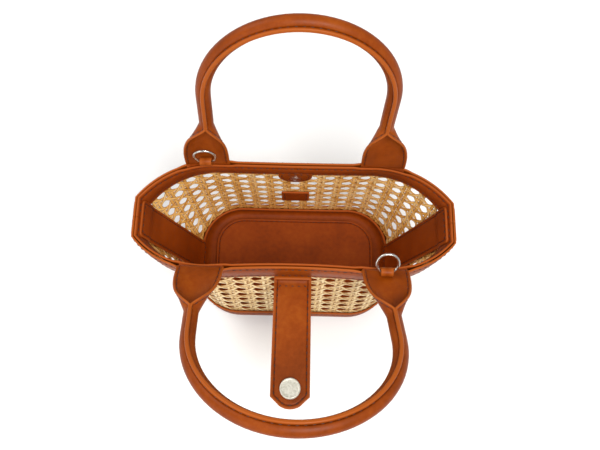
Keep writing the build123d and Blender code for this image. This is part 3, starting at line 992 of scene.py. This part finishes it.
BASE_ROUND = 8.0
LINING_ROUND = 6.0
TURNED_IN = -30.0             # the cover is turned in this far under the board
outside = [(TURNED_IN, 0.0)] + rounded(BASE_ROUND, LEATHER, 0.0, 9)
top = COVER_TOP
outside += [
    (1.62, 10.2), (1.64, 11.8), (1.6, 12.6), (1.42, 12.9), (1.42, 13.2), (1.62, 13.5),
    (1.68, 14.6), (1.5, top - 0.35), (1.1, top - 0.02), (0.5, top - 0.02), (0.06, top - 0.5),
]
inside = [(0.0, 12.0)] + rounded(BASE_ROUND - LEATHER, 0.0, 1.8, 7)[::-1] + [(TURNED_IN, 1.8)]
section = outside + inside
heights = np.array([z for _, z in section])
outer_face = np.arange(len(section)) < len(outside)
cover_edge = smooth_step(heights, 14.0, 15.4) * outer_face
cover_groove = ((np.abs(heights - 13.05) < 0.3) & outer_face) * 1.0
ring_piece(
    "base_cover_leather", section, base_leather, {"edge": cover_edge, "groove": cover_groove},
    "base_cover"
)

lining_section = [(-CANE - 15.6, LINING_FLOOR)]
lining_section += rounded(LINING_ROUND, -CANE, LINING_FLOOR, 7) + [
    (-CANE, 12.0), (-CANE, LINING_TOP - 0.5), (-2.0, LINING_TOP), (-2.7, LINING_TOP),
    (-3.2, LINING_TOP - 0.4), (-3.32, LINING_TOP - 1.4), (-3.2, LINING_TOP - 2.3),
    (-3.02, LINING_TOP - 2.6), (-3.22, LINING_TOP - 3.0),
]
lining_section += rounded(LINING_ROUND - LEATHER, -CANE - LEATHER, LINING_FLOOR + LEATHER, 6)[::-1]
lining_section += [(-CANE - 15.0, LINING_FLOOR + LEATHER), (-CANE - 15.6, LINING_FLOOR + 0.8)]
lining_heights = np.array([z for _, z in lining_section])
lining_edge = smooth_step(lining_heights, LINING_TOP - 1.6, LINING_TOP - 0.4)
lining_groove = (np.abs(lining_heights - LINING_TOP + 2.6) < 0.2) * 1.0
ring_piece(
    "base_lining_leather", lining_section, lining_leather,
    {"edge": lining_edge, "groove": lining_groove}, "base_lining"
)

ring_rows = []
for offset, z, way in ((1.5, 13.05, 1), (-3.1, LINING_TOP - 2.6, -1)):
    loop = level_ring(z, offset)
    outward = level_ring(z, offset + way) - loop
    ring_rows += [(loop[half], outward[half]) for half in (slice(0, LINES), slice(LINES, None))]
sew("base_stitches", ring_rows, "bag")

# %% [markdown]
# ## Flat leather goods
# The strap, the patches, the strips and the covered insert board are all cut
# from flat leather: an outline, a thickness, a rounded edge and a sewing
# groove that runs a set distance inside the edge.  One function cuts such a
# panel as rings of points at set distances from the outline, and a second
# function lays it wherever it belongs.


# %% Cut a flat panel
GROOVE_IN = 2.35              # the sewing groove runs this far inside the edge
EDGE_PROFILE = (
    # distance from the edge, share of the half thickness
    (0.0, 0.0), (0.1, 0.5), (0.4, 0.9), (0.9, 1.08), (1.5, 1.06), (1.95, 0.98), (2.2, 0.72),
    (2.5, 0.72), (2.75, 0.98), (3.6, 1.0),
)


def even_loop(corners, step):
    """Points about a step apart along a closed outline, keeping its corners."""
    points = []
    for a, b in zip(corners, np.roll(corners, -1, axis=0)):
        count = max(1, round(float(np.linalg.norm(b - a)) / step))
        points += [a + (b - a) * k / count for k in range(count)]
    return np.array(points)


def distance_to_loop(points, loop):
    """Distance from each point to a closed outline."""
    a, b = loop, np.roll(loop, -1, axis=0)
    best = np.full(len(points), 1e9)
    for p, q in zip(a, b):
        run = q - p
        share = np.clip(((points - p) @ run) / max(run @ run, 1e-12), 0, 1)
        best = np.minimum(best, np.linalg.norm(points - p - share[:, None] * run, axis=1))
    return best


def inset_ring(loop, distance):
    """The outline moved inwards; points that would cross to another side are dropped."""
    run = np.roll(loop, -1, axis=0) - np.roll(loop, 1, axis=0)
    inward = np.column_stack((-run[:, 1], run[:, 0]))
    inward /= np.linalg.norm(inward, axis=1)[:, None]
    ring = loop + inward * distance
    return ring[distance_to_loop(ring, loop) > distance * 0.93]


def cut_line(outline, step):
    """The line that the knife follows: even points, anticlockwise."""
    loop = even_loop(np.asarray(outline, float), step)
    area = np.sum(loop[:, 0] * np.roll(loop[:, 1], -1) - np.roll(loop[:, 0], -1) * loop[:, 1])
    return loop if area > 0 else loop[::-1]


def cut_panel(outline, half, step=1.6, grid=3.0, back_groove=False):
    """A panel closed all round, as its places (u, v, w), its faces and its two marks."""
    loop = cut_line(outline, step)
    rings = [loop] + [inset_ring(loop, distance) for distance, _ in EDGE_PROFILE[1:]]
    low, high = loop.min(0), loop.max(0)
    us = np.arange(low[0] + grid / 2, high[0], grid)
    vs = np.arange(low[1] + grid / 2, high[1], grid)
    inner = np.array([(u, v) for u in us for v in vs])
    inner = inner[in_loop(inner, loop)]
    inner = inner[distance_to_loop(inner, loop) > EDGE_PROFILE[-1][0] + 0.6 * grid]
    points = np.vstack(rings + [inner])
    border = list(range(len(loop)))
    result = delaunay_2d_cdt([tuple(p) for p in points], [], [border], 1, 1e-5)
    flat = np.array([tuple(p) for p in result[0]])
    triangles = [tuple(t) for t in result[2]]
    distance = distance_to_loop(flat, loop)
    steps, shares = zip(*EDGE_PROFILE)
    share = np.interp(distance, steps, shares)
    plain = np.interp(distance, (0, 0.1, 0.4, 0.9), (0, 0.5, 0.9, 1.0))
    upper = np.column_stack((flat, half * share))
    lower = np.column_stack((flat, -half * (share if back_groove else plain)))
    count = len(flat)
    faces = triangles + [tuple(i + count for i in t[::-1]) for t in triangles]
    edge = np.tile(1 - smooth_step(distance, 0.3, 1.2), 2)
    groove = np.tile((np.abs(distance - GROOVE_IN) < 0.2) * 1.0, 2)
    return np.vstack((upper, lower)), faces, {"edge": edge, "groove": groove}


def in_loop(points, loop):
    """Whether each point is inside a closed outline."""
    inside = np.zeros(len(points), bool)
    for (ax, ay), (bx, by) in zip(loop, np.roll(loop, -1, axis=0)):
        crosses = (ay > points[:, 1]) != (by > points[:, 1])
        at = ax + (points[:, 1] - ay) * (bx - ax) / (by - ay if by != ay else 1e-12)
        inside ^= crosses & (points[:, 0] < at)
    return inside


def groove_path(outline, step=1.6):
    """The line that the needle follows inside the edge, as a closed chain."""
    ring = inset_ring(cut_line(outline, step), GROOVE_IN)
    return np.vstack((ring, ring[:1]))


def laid_path(path, lay, height):
    """A needle path laid in place, with the direction away from the panel."""
    flat = np.column_stack((path, np.full(len(path), height)))
    place = lay(flat)
    return place, lay(flat + (0, 0, 1)) - place


def corner_arc(centre, radius, start, end, steps=6):
    """Points of a rounded corner, by angle in degrees."""
    angles = np.radians(np.linspace(start, end, steps))
    return np.array(centre) + radius * np.column_stack((np.cos(angles), np.sin(angles)))


def panel_piece(name, outline, half, lay, material, node, **cut):
    """Cut a panel, lay it in place and give it to the bag."""
    places, faces, marks = cut_panel(outline, half, **cut)
    add_piece(name, (lay(places), faces), material, "bag", "leather", node, marks)


print("edge profile", EDGE_PROFILE)

# %% [markdown]
# ## Side strips
# At each end of the bag a strip of leather covers the joint between the two
# sheets of webbing, outside and inside.  Over the rim bands it steps up by
# their thickness, as leather does when it is hammered over an edge.

# %% Side strips
STRIP_WIDTH = 27.0
STRIP_HALF = 0.7
STRIP_CORNER = 3.0
STRIP_STEP_UP = 1.35          # thickness of what it climbs over
END_LOW, END_HIGH = BASE_WIDTH / 2, RIM_WIDTH / 2
END_SLOPE = (END_HIGH - END_LOW) / RIM_HEIGHT
END_OUT = np.array((1.0, -END_SLOPE)) / math.hypot(1.0, END_SLOPE)
END_TOP = float(rim_line(RIM_WIDTH / 2))


def lay_strip(end, inner):
    """Lay a panel on the flat end face: u across, v up from the floor, w outwards."""
    band_height = INNER_BAND if inner else OUTER_BAND

    def lay(places):
        u, v, w = places.T
        over_band = smooth_step(v, END_TOP - band_height - 3.5, END_TOP - band_height + 0.5)
        over_foot = 1 - smooth_step(v, 14.5, 19.0) if inner else 0 * v
        level = STRIP_HALF + 0.03 + STRIP_STEP_UP * np.maximum(over_band, over_foot)
        stand_off = (-CANE - level - w) if inner else (level + w)
        x = END_LOW + END_SLOPE * v + END_OUT[0] * stand_off
        return np.column_stack((end * x, u, v + END_OUT[1] * stand_off))

    return lay


strip_rows = []
for end, end_name in ((-1, "left"), (1, "right")):
    for inner in (False, True):
        foot = 12.6 if inner else COVER_TOP + 0.1
        head = END_TOP - (3.0 if inner else 2.0)
        half = STRIP_WIDTH / 2 - (0.4 if inner else 0)
        bend = head - STRIP_CORNER
        outline = np.vstack((
            [(-half, foot), (half, foot)],
            corner_arc((half - STRIP_CORNER, bend), STRIP_CORNER, 0, 90),
            corner_arc((-half + STRIP_CORNER, bend), STRIP_CORNER, 90, 180),
        ))
        lay = lay_strip(end, inner)
        where, material = ("inner", lining_leather) if inner else ("outer", leather)
        panel_piece(
            f"end_strip_{where}_{end_name}", outline, STRIP_HALF, lay, material,
            f"side_strip_{where}_{end_name}"
        )
        strip_rows.append(laid_path(groove_path(outline), lay, STRIP_HALF * 1.05))
sew("end_strip_stitches", strip_rows, "bag")

# %% [markdown]
# ## Patches, label and insert
# On the rear wall a half-round patch, outside and inside, backs the fixed half
# of the magnetic closure, and a blank label is sewn below it.  The floor is
# covered by a loose board in leather, with a stitched raised border.

# %% Patches and blank label
rear_wall = walls[REAR]


def lay_on_rear(level):
    """Lay a panel on the rear wall: u across, v height, w away from the cane."""
    sign = 1 if level > 0 else -1

    def lay(places):
        u, v, w = places.T
        lines = np.array([float(rear_wall.line_at(a, b)) for a, b in zip(u, v)])
        return rear_wall.place(lines, v, level + sign * w)

    return lay


patch_rows = []
PATCH_HALF_WIDTH = 12.0
PATCH_HEIGHT = 17.0
PATCH_HALF, LABEL_HALF = 0.78, 0.75
PATCH_LEVEL = 0.8
PATCH_NEEDLE, LABEL_NEEDLE = 0.55, 0.53
LABEL_CORNER = 1.5
for name, node, band_height, level in (
    ("closure_patch_outside", "closure_patch_outer", OUTER_BAND, PATCH_LEVEL),
    ("closure_patch_inside", "closure_patch_inner", INNER_BAND, -CANE - PATCH_LEVEL),
):
    head = RIM_HEIGHT - band_height + 1.4
    turn = RIM_HEIGHT - band_height - PATCH_HEIGHT + PATCH_HALF_WIDTH
    outline = np.vstack((
        [(PATCH_HALF_WIDTH, head), (-PATCH_HALF_WIDTH, head)],
        corner_arc((0, turn), PATCH_HALF_WIDTH, 180, 360, 20),
    ))
    lay = lay_on_rear(level)
    panel_piece(name, outline, PATCH_HALF, lay, leather, node, step=1.4)
    patch_rows.append(laid_path(groove_path(outline), lay, PATCH_NEEDLE))

label_low, label_high = node_box("label_patch")
half_label = (label_high[0] - label_low[0]) / 2
outline = np.vstack([
    corner_arc((sx * (half_label - LABEL_CORNER), v), LABEL_CORNER, a, a + 90)
    for sx, v, a in (
        (1, label_high[2] - LABEL_CORNER, 0), (-1, label_high[2] - LABEL_CORNER, 90),
        (-1, label_low[2] + LABEL_CORNER, 180), (1, label_low[2] + LABEL_CORNER, 270),
    )
])
lay = lay_on_rear(-CANE - PATCH_LEVEL)
panel_piece("blank_label", outline, LABEL_HALF, lay, lining_leather, "label_patch", step=1.4)
patch_rows.append(laid_path(groove_path(outline), lay, LABEL_NEEDLE))
sew("patch_stitches", patch_rows, "bag")

# %% Covered insert board
insert_low, insert_high = node_box("insert_cover")
INSERT_INSET = 10.0
SWELL, SWELL_IN = 0.35, 1.2   # how high its border swells, and how far from the edge
insert_outline = full_outline(insert_low[2], -INSERT_INSET)[::-1]
insert_half = (insert_high[2] - insert_low[2]) / 2


def lay_insert(places):
    """The board lies flat; its leather swells a little between border and middle."""
    u, v, w = places.T
    inner = distance_to_loop(places[:, :2], insert_outline)
    swell = SWELL * np.exp(-((inner - SWELL_IN) / SWELL_IN) ** 2) * (w > 0)
    return np.column_stack((u, v, insert_low[2] + insert_half + w + swell))


panel_piece(
    "insert_board_leather", insert_outline, insert_half, lay_insert, lining_leather,
    "insert_cover", step=2.0, grid=5.0
)
needle = laid_path(groove_path(insert_outline, step=2.0), lay_insert, insert_half * 0.74)
sew("insert_stitches", [needle], "bag")

# %% [markdown]
# ## Handles
# A handle is one long strip of leather.  Along the arch it is wrapped round a
# cotton cord and its two edges stand up together as a sewn fin; near the rim
# the edges part and the strip opens into a spoon-shaped leaf.  The strip keeps
# its width all the way, so one cross-section that only bends more or less
# describes the whole handle, and it is carried along the handle's line.
# The leaf leaves the rim at a hinge, and its root bends there.

# %% The cross-section that opens and closes
STRIP_FULL = 30.6             # width of the flat strip
LIP = 3.1                     # the part of each edge that stands up as the fin
HANDLE_LEATHER = 1.6
ROLL_RADIUS = 4.55
LEAF_TALL = 41.0
LEAF_CUP = math.radians(206.0)    # how far the leaf itself cups towards its tip
NECK_PINCH = math.radians(130.0)  # the last part of the curl, close to the neck
ROLL_CURL = LEAF_CUP + NECK_PINCH
CORD_RADIUS = 2.8
ROOT_DEEP = 4.0               # the root's end lies this far below the hinge
ROOT_LEAN = math.radians(-3.8)
BEND_SPAN = 2.2
THREAD_LIFT = 0.12
HINGE_Y = RIM_DEPTH / 2 - CANE / 2
HINGE_Z = joints["front_handle_swing"]["pos_m"][2] / MM

half_strip = STRIP_FULL / 2
body_half = half_strip - LIP
across = np.unique(np.concatenate((
    np.linspace(0, body_half, 13),
    half_strip - np.array((2.9, 2.7, 2.5, 2.3, 2.1, 1.9, 1.6, 1.2, 0.8, 0.5, 0.28, 0.12, 0.0)),
)))
from_edge = half_strip - across
needle_at = int(np.argmin(np.abs(from_edge - GROOVE_IN)))
fine = np.linspace(0, half_strip, 400)


def handle_section(closed):
    """Loop of one section, from flat leaf (0) to roll with fin (1), and its needle place."""
    bend = LEAF_CUP * closed ** 1.6 + NECK_PINCH * closed ** 8
    mid_radius = ROLL_RADIUS - HANDLE_LEATHER / 2
    body = body_half + (ROLL_CURL / 2 * mid_radius - body_half) * closed ** 2
    stretch = body / body_half
    lip_turn = max(0.0, bend / 2 - math.pi / 2)
    angle = bend / 2 * np.clip(fine / body_half, 0, 1)
    angle = angle - lip_turn * smooth_step(fine, body_half - 0.2, body_half + 1.0)
    scale = np.where(fine < body_half, stretch, 1.0)
    pace = np.gradient(fine) * scale
    x = np.concatenate(([0], np.cumsum((np.cos(angle) * pace)[:-1])))
    y = np.concatenate(([0], np.cumsum((np.sin(angle) * pace)[:-1])))
    y -= mid_radius * smooth_step(closed, 0.1, 1.0)
    half = 0.8 * np.sqrt(np.clip(1 - np.clip(1 - from_edge / 0.75, 0, 1) ** 2, 0, 1))
    half += 0.2 * np.exp(-((from_edge - 1.1) / 0.6) ** 2)
    half -= 0.3 * np.exp(-((from_edge - GROOVE_IN) / 0.3) ** 2)
    half[-1] = 0
    cx, cy, turn = (np.interp(across, fine, values) for values in (x, y, angle))
    nx, ny = -np.sin(turn), np.cos(turn)
    face = np.column_stack((cx + nx * half, cy + ny * half))
    back = np.column_stack((cx - nx * half, cy - ny * half))
    right = np.vstack((face, back[-2::-1]))
    left = (right * (-1, 1))[-2:0:-1]
    return np.vstack((right, left)), np.column_stack((cx, cy, nx, ny, half))[needle_at]


def both_halves(values):
    """A mark from the middle to one edge, copied to every point of a section."""
    right = np.concatenate((values, values[-2::-1]))
    return np.concatenate((right, right[-2:0:-1]))


loop_edge = both_halves(1 - smooth_step(from_edge, 0.25, 1.2))
loop_groove = both_halves(np.exp(-((from_edge - GROOVE_IN) / 0.25) ** 2))
print("points in a handle section:", len(loop_edge))


# %% The handle's line, drawn flat
def handle_stations(spacing, rise, skew):
    """Stations along one handle: place (x, v), direction, share closed, from leaf to leaf."""
    arch = spacing / 2
    leg_top = rise - arch
    leaf = np.concatenate((np.linspace(-ROOT_DEEP, 4, 13), np.linspace(5.5, LEAF_TALL, 22)))
    share = np.clip(leaf / LEAF_TALL, 0, 1)
    foot = LEAF_MIDDLE + (arch - LEAF_MIDDLE) * smooth_step(leaf, 0, LEAF_TALL + 6)
    left = [(-x, v, c) for x, v, c in zip(foot, leaf, share)]
    leg = [(-arch, v, 1.0) for v in np.linspace(LEAF_TALL + 3, leg_top, 8)]
    turn = [
        (arch * math.cos(a), leg_top + arch * math.sin(a), 1.0)
        for a in np.linspace(math.pi, math.pi / 2, 24)[1:]
    ]
    half = left + leg + turn
    whole = np.array(half + [(-x, v, c) for x, v, c in half[-2::-1]])
    whole[:, 0] += skew * smooth_step(whole[:, 1], 10, rise)
    line = whole[:, :2]
    direction = np.gradient(line, axis=0)
    direction[:13] = (0, 1)
    direction[-13:] = (0, -1)
    direction /= np.linalg.norm(direction, axis=1)[:, None]
    return line, direction, whole[:, 2]


def bent_line(steps, tilts, anchor, full):
    """Out and up along a turning line that is on its straight lean at the anchor."""
    pace = np.diff(steps)
    return [
        line - (np.interp(anchor, steps, line) - anchor * way(full))
        for way, line in (
            (way, np.concatenate(([0], np.cumsum(way(tilts[:-1]) * pace))))
            for way in (np.sin, np.cos)
        )
    ]


def lean_out(side, lean, x, y, v):
    """Flat handle frame to the bag at rest: x across, y to the open side, v along."""
    full = math.radians(lean)
    steps = np.linspace(-ROOT_DEEP - 2, BEND_SPAN, 160)
    tilt = ROOT_LEAN + (full - ROOT_LEAN) * smooth_step(steps, -BEND_SPAN, BEND_SPAN)
    out, up = bent_line(steps, tilt, BEND_SPAN, full)
    beyond = np.maximum(v - BEND_SPAN, 0)
    at = np.clip(v, steps[0], BEND_SPAN)
    angle = np.interp(at, steps, tilt)
    centre_out = np.interp(at, steps, out) + beyond * math.sin(full)
    centre_up = np.interp(at, steps, up) + beyond * math.cos(full)
    # The open side looks towards the bag's inside, square to the leaf.
    place_out = centre_out - y * np.cos(angle)
    place_up = centre_up + y * np.sin(angle)
    return np.stack((x * -side, side * (HINGE_Y + place_out), HINGE_Z + place_up), -1)


def handle_points(side, lean, line, direction, offsets):
    """Places of section offsets (n across, y) at each station."""
    n, y = offsets[..., 0], offsets[..., 1]
    x = line[:, None, 0] + n * direction[:, None, 1]
    v = line[:, None, 1] - n * direction[:, None, 0]
    return lean_out(side, lean, x, y, v)


# %% Both handles and their stitching
HANDLES = {
    # lean from upright, leg spacing, rise, sideways sway of the arch
    "front": (FRONT, 55.0, 121.0, 121.0, 4.0),
    "rear": (REAR, 13.0, 113.0, 123.0, -3.0),
}


def hinge_span(side, lean):
    """Start and end of the bend, in metres: inside the bands, and just above the hinge."""
    full = math.radians(lean)
    hinge = np.array((0, side * HINGE_Y, HINGE_Z))
    start = hinge - BEND_SPAN * np.array((0, side * math.sin(ROOT_LEAN), math.cos(ROOT_LEAN)))
    end = hinge + BEND_SPAN * np.array((0, side * math.sin(full), math.cos(full)))
    return tuple(start * MM), tuple(end * MM)


for side_name, (side, lean, spacing, rise, sway) in HANDLES.items():
    line, direction, closed = handle_stations(spacing, rise, sway)
    offsets, needles = map(np.array, zip(*(handle_section(c) for c in closed)))
    vertices, faces = skin(handle_points(side, lean, line, direction, offsets))
    marks = {"edge": np.tile(loop_edge, len(line)), "groove": np.tile(loop_groove, len(line))}
    handle = make_piece(f"rolled_handle_{side_name}", vertices, faces, leather, attributes=marks)
    start, end = hinge_span(side, lean)
    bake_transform(handle)
    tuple(start)
    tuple(end)
    finish_piece(handle, None, "leather", f"handle_{side_name}")
    rolled = closed > 0.97
    turns = np.linspace(0, 2 * math.pi, 16, endpoint=False)
    round_cord = CORD_RADIUS * np.column_stack((np.cos(turns), np.sin(turns)))
    offsets = np.broadcast_to(round_cord, (int(rolled.sum()), 16, 2))
    solid = skin(handle_points(side, lean, line[rolled], direction[rolled], offsets))
    add_piece(
        f"handle_cord_{side_name}", solid, cord_finish, f"{side_name}_handle", "cord_core",
        f"handle_core_{side_name}"
    )
    rows = []
    keep = line[:, 1] > BEND_SPAN + 0.5
    for hand in (-1, 1):
        for face in (1, -1):
            path, above = (
                handle_points(side, lean, line, direction, offset[:, None])[keep, 0]
                for offset in (
                    (needles[:, :2] + needles[:, 2:4] * face * lift[:, None]) * (hand, 1)
                    for lift in (needles[:, 4] + THREAD_LIFT, needles[:, 4] + THREAD_LIFT + 1)
                )
            )
            rows.append((path, above - path))
    sew(f"handle_stitches_{side_name}", rows, f"{side_name}_handle")

# %% [markdown]
# ## Closure strap
# Two layers of leather are glued and sewn together round the edge.  The strap
# hangs from the front band, and its root bends just below the band.  Leather
# this thick stays nearly straight.

# %% Strap
STRAP_HALF_WIDTH = 12.5
STRAP_HALF = 1.35
STRAP_LONG = 84.0
STRAP_LIFT = math.radians(82.0)
STRAP_ROOT_LEAN = math.radians(162.0)
STRAP_SAG = math.radians(5.0)
STRAP_ROOT = -3.2
STRAP_BEND = 2.6
STRAP_TIP = 12.0
strap_hinge = np.array(joints["strap_lift"]["pos_m"]) / MM


def strap_place(places):
    """Upright strap to its rest lift; its root comes down from behind the band's edge."""
    u, v, w = places.T
    w = w - 0.35 * (u / STRAP_HALF_WIDTH) ** 2 * smooth_step(v, 0, 10)
    steps = np.linspace(STRAP_ROOT - 1, STRAP_LONG + 1, 1200)
    rooted = 1 - smooth_step(steps, STRAP_ROOT, STRAP_BEND)
    tilts = STRAP_LIFT + (STRAP_ROOT_LEAN - STRAP_LIFT) * rooted
    tilts = tilts + STRAP_SAG * smooth_step(steps, 30, STRAP_LONG) * (steps / STRAP_LONG)
    out, up = bent_line(steps, tilts, STRAP_BEND, STRAP_LIFT)
    angle = np.interp(v, steps, tilts)
    centre_out = np.interp(v, steps, out)
    centre_up = np.interp(v, steps, up)
    y = strap_hinge[1] - (centre_out - w * np.cos(angle))
    z = strap_hinge[2] + centre_up + w * np.sin(angle)
    return np.column_stack((u, y, z))


shoulder = STRAP_LONG - 1.6 - 6.0
strap_outline = np.vstack((
    [(STRAP_HALF_WIDTH, STRAP_ROOT), (STRAP_HALF_WIDTH, shoulder)],
    corner_arc((0, STRAP_LONG - STRAP_TIP), STRAP_TIP, 57, 123, 12),
    [(-STRAP_HALF_WIDTH, shoulder), (-STRAP_HALF_WIDTH, STRAP_ROOT)],
))
places, faces, marks = cut_panel(
    strap_outline, STRAP_HALF, step=1.5, grid=2.5, back_groove=True
)
strap = make_piece("closure_strap_leather", strap_place(places), faces, leather, attributes=marks)
strap_way = np.array((0, -math.sin(STRAP_LIFT), math.cos(STRAP_LIFT)))
start = tuple((strap_hinge + (0, 1.6, 1.6)) * MM)
end = tuple((strap_hinge + STRAP_BEND * strap_way) * MM)
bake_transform(strap)
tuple(start)
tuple(end)
finish_piece(strap, None, "leather", "strap_top", "strap_lining")
needle = groove_path(strap_outline, step=1.5)
needle = needle[:-1][needle[:-1, 1] > 3.2]
middle = STRAP_LONG / 2
needle = needle[np.argsort(np.arctan2(needle[:, 0], middle - needle[:, 1]))]
front_row = laid_path(needle, strap_place, STRAP_HALF)
back_row, under = (
    strap_place(np.column_stack((needle, np.full(len(needle), -STRAP_HALF - part))))
    for part in (0, 1)
)
sew("strap_stitches", [front_row, (back_row, under - back_row)], "closure_strap")

# %% [markdown]
# ## Metal
# The magnet sits in a pressed nickel cap with a raised rim.  A cap is a turned
# shape: its half-section is carried once round its axis.  The rings are bent
# from round wire and soldered, and each hangs in a folded leather loop.


# %% Caps
def turned(profile, centre, axis, sides=64):
    """A closed turned shape: (radius, height) pairs from the axis below to the axis above."""
    axis = np.asarray(axis, float) / np.linalg.norm(axis)
    across_axis = np.cross(axis, (1, 0, 0))
    across_axis /= np.linalg.norm(across_axis)
    other = np.cross(axis, across_axis)
    angles = np.linspace(0, 2 * math.pi, sides, endpoint=False)[:, None]
    spokes = np.cos(angles) * across_axis + np.sin(angles) * other
    return skin(np.array([centre + height * axis + radius * spokes for radius, height in profile]))


CAP_PROFILE = (
    (6.42, 0.0), (6.5, 0.15), (6.5, 1.5), (6.46, 1.95), (6.3, 2.25), (6.02, 2.4), (5.72, 2.38),
    (5.52, 2.3), (5.42, 2.22), (5.2, 2.16), (4.2, 2.18), (2.6, 2.22), (1.2, 2.25), (0.4, 2.25),
)
CAP_HALF_HEIGHT = 1.1
CAP_BELOW_BAND = 8.0
cap_solid = frame["nodes"]["strap_cap"]
rim_points = np.array([tuple(cap_solid.matrix_world @ v.co) for v in cap_solid.data.vertices]) / MM
cap_middle = (rim_points.min(0) + rim_points.max(0)) / 2
cap_axis = np.linalg.svd(rim_points - rim_points.mean(0), full_matrices=False)[2][2]
cap_axis = cap_axis * math.copysign(1.0, cap_axis[2])
cap_base = cap_middle - cap_axis * CAP_HALF_HEIGHT
cap = turned(CAP_PROFILE, cap_base, cap_axis)
add_piece("snap_cap_strap", cap, satin_nickel, "closure_strap", "metal", "strap_cap")

level = RIM_HEIGHT - OUTER_BAND - CAP_BELOW_BAND
line = rear_wall.line_at(0.0, level)
cap_base = rear_wall.place(line, level, LEATHER)
cap_axis = rear_wall.place(line, level, LEATHER + 1) - cap_base
cap = turned(CAP_PROFILE, cap_base, cap_axis)
add_piece("snap_cap_rear", cap, satin_nickel, "bag", "metal", "rear_cap")


# %% Rings and their loops
RING_RADIUS = 6.95
RING_WIRE = 0.85
LOOP_WIDTH = 8.0
LOOP_LEATHER = 1.1
LOOP_HEIGHT = 6.4
arc_sag = RING_RADIUS - math.sqrt(RING_RADIUS ** 2 - (LOOP_WIDTH / 2) ** 2)
BORE = RING_WIRE + arc_sag / 2 + 0.3
BORE_DEPTH = 0.8 + 0.5 + BORE + LOOP_LEATHER


def rigid_lean(side, lean, places):
    """Flat handle frame to rest, turned about the hinge line alone."""
    x, y, v = np.moveaxis(places, -1, 0)
    tilt = math.radians(lean)
    out = v * math.sin(tilt) - y * math.cos(tilt)
    up = v * math.cos(tilt) + y * math.sin(tilt)
    return np.stack((x * -side, side * (HINGE_Y + out), HINGE_Z + up), -1)


def wire_ring(ring_lean):
    """A ring of round wire through the loop's bore, in the flat handle frame."""
    tilt = math.radians(ring_lean)
    a = np.linspace(0, 2 * math.pi, 72, endpoint=False)[:, None]
    b = np.linspace(0, 2 * math.pi, 18, endpoint=False)
    reach = RING_RADIUS + RING_WIRE * np.cos(b)
    x = reach * np.sin(a)
    up = (RING_RADIUS - arc_sag / 2) - reach * np.cos(a)
    deep = RING_WIRE * np.sin(b)
    y = up * math.sin(tilt) + deep * math.cos(tilt)
    v = up * math.cos(tilt) - deep * math.sin(tilt)
    return np.stack((LEAF_MIDDLE + x, BORE_DEPTH + y, LOOP_HEIGHT + v), -1)


def folded_loop():
    """A leather tab folded round the wire; both tails go down together."""
    middle = BORE + LOOP_LEATHER / 2
    near = BORE_DEPTH - middle
    tail = [(near, v) for v in np.linspace(1.0, LOOP_HEIGHT - 1.2, 5)]
    bow = [
        (BORE_DEPTH - middle * math.cos(a), LOOP_HEIGHT + middle * math.sin(a))
        for a in np.linspace(-0.15, math.pi + 0.9, 22)
    ]
    back = [(near + 1.25, v) for v in np.linspace(LOOP_HEIGHT - 4.0, 1.0, 4)]
    chain = np.array(tail + bow + back)
    run = np.gradient(chain, axis=0)
    run /= np.linalg.norm(run, axis=1)[:, None]
    side_way = np.column_stack((run[:, 1], -run[:, 0]))
    half_w = LOOP_WIDTH / 2
    section = np.array([
        (-half_w, 0), (-half_w + 0.1, 0.35), (-half_w + 0.5, 0.55), (0, 0.52), (half_w - 0.5, 0.55),
        (half_w - 0.1, 0.35), (half_w, 0), (half_w - 0.1, -0.35), (half_w - 0.5, -0.55), (0, -0.52),
        (-half_w + 0.5, -0.55), (-half_w + 0.1, -0.35),
    ])
    wide, thick = section.T
    rows = [
        np.column_stack((LEAF_MIDDLE + wide, y + sy * thick, v + sv * thick))
        for (y, v), (sy, sv) in zip(chain, side_way)
    ]
    edge = np.tile((np.abs(wide) > half_w - 0.6) * 1.0, len(chain))
    return np.array(rows), edge


for end_name, side_name, ring_lean in (("left", "rear", 6.0), ("right", "front", 97.0)):
    side, lean = HANDLES[side_name][:2]
    ring = skin(rigid_lean(side, lean, wire_ring(ring_lean)), closed_rows=True)
    add_piece(
        f"wire_ring_{end_name}", ring, nickel, f"{end_name}_ring", "metal", f"ring_{end_name}"
    )
    rows, edge = folded_loop()
    add_piece(
        f"ring_tab_{end_name}", skin(rigid_lean(side, lean, rows)), leather,
        f"{side_name}_handle", "leather", f"ring_loop_{end_name}", {"edge": edge}
    )

# %% Finishes for the hidden solids that stay
FINISH_OF_SLOT = {
    "leather": lining_leather, "cane": cane, "metal": nickel, "cord_core": cord_finish,
    "board": board_finish, "magnet": magnet_finish,
}
slot_of = {part["node"]: part["material_slot"] for part in frame["record"]["subparts"]}
for node, solid in frame["nodes"].items():
    for place in solid.material_slots:
        place.material = FINISH_OF_SLOT[slot_of[node]]
print("solids with a finish:", len(slot_of))
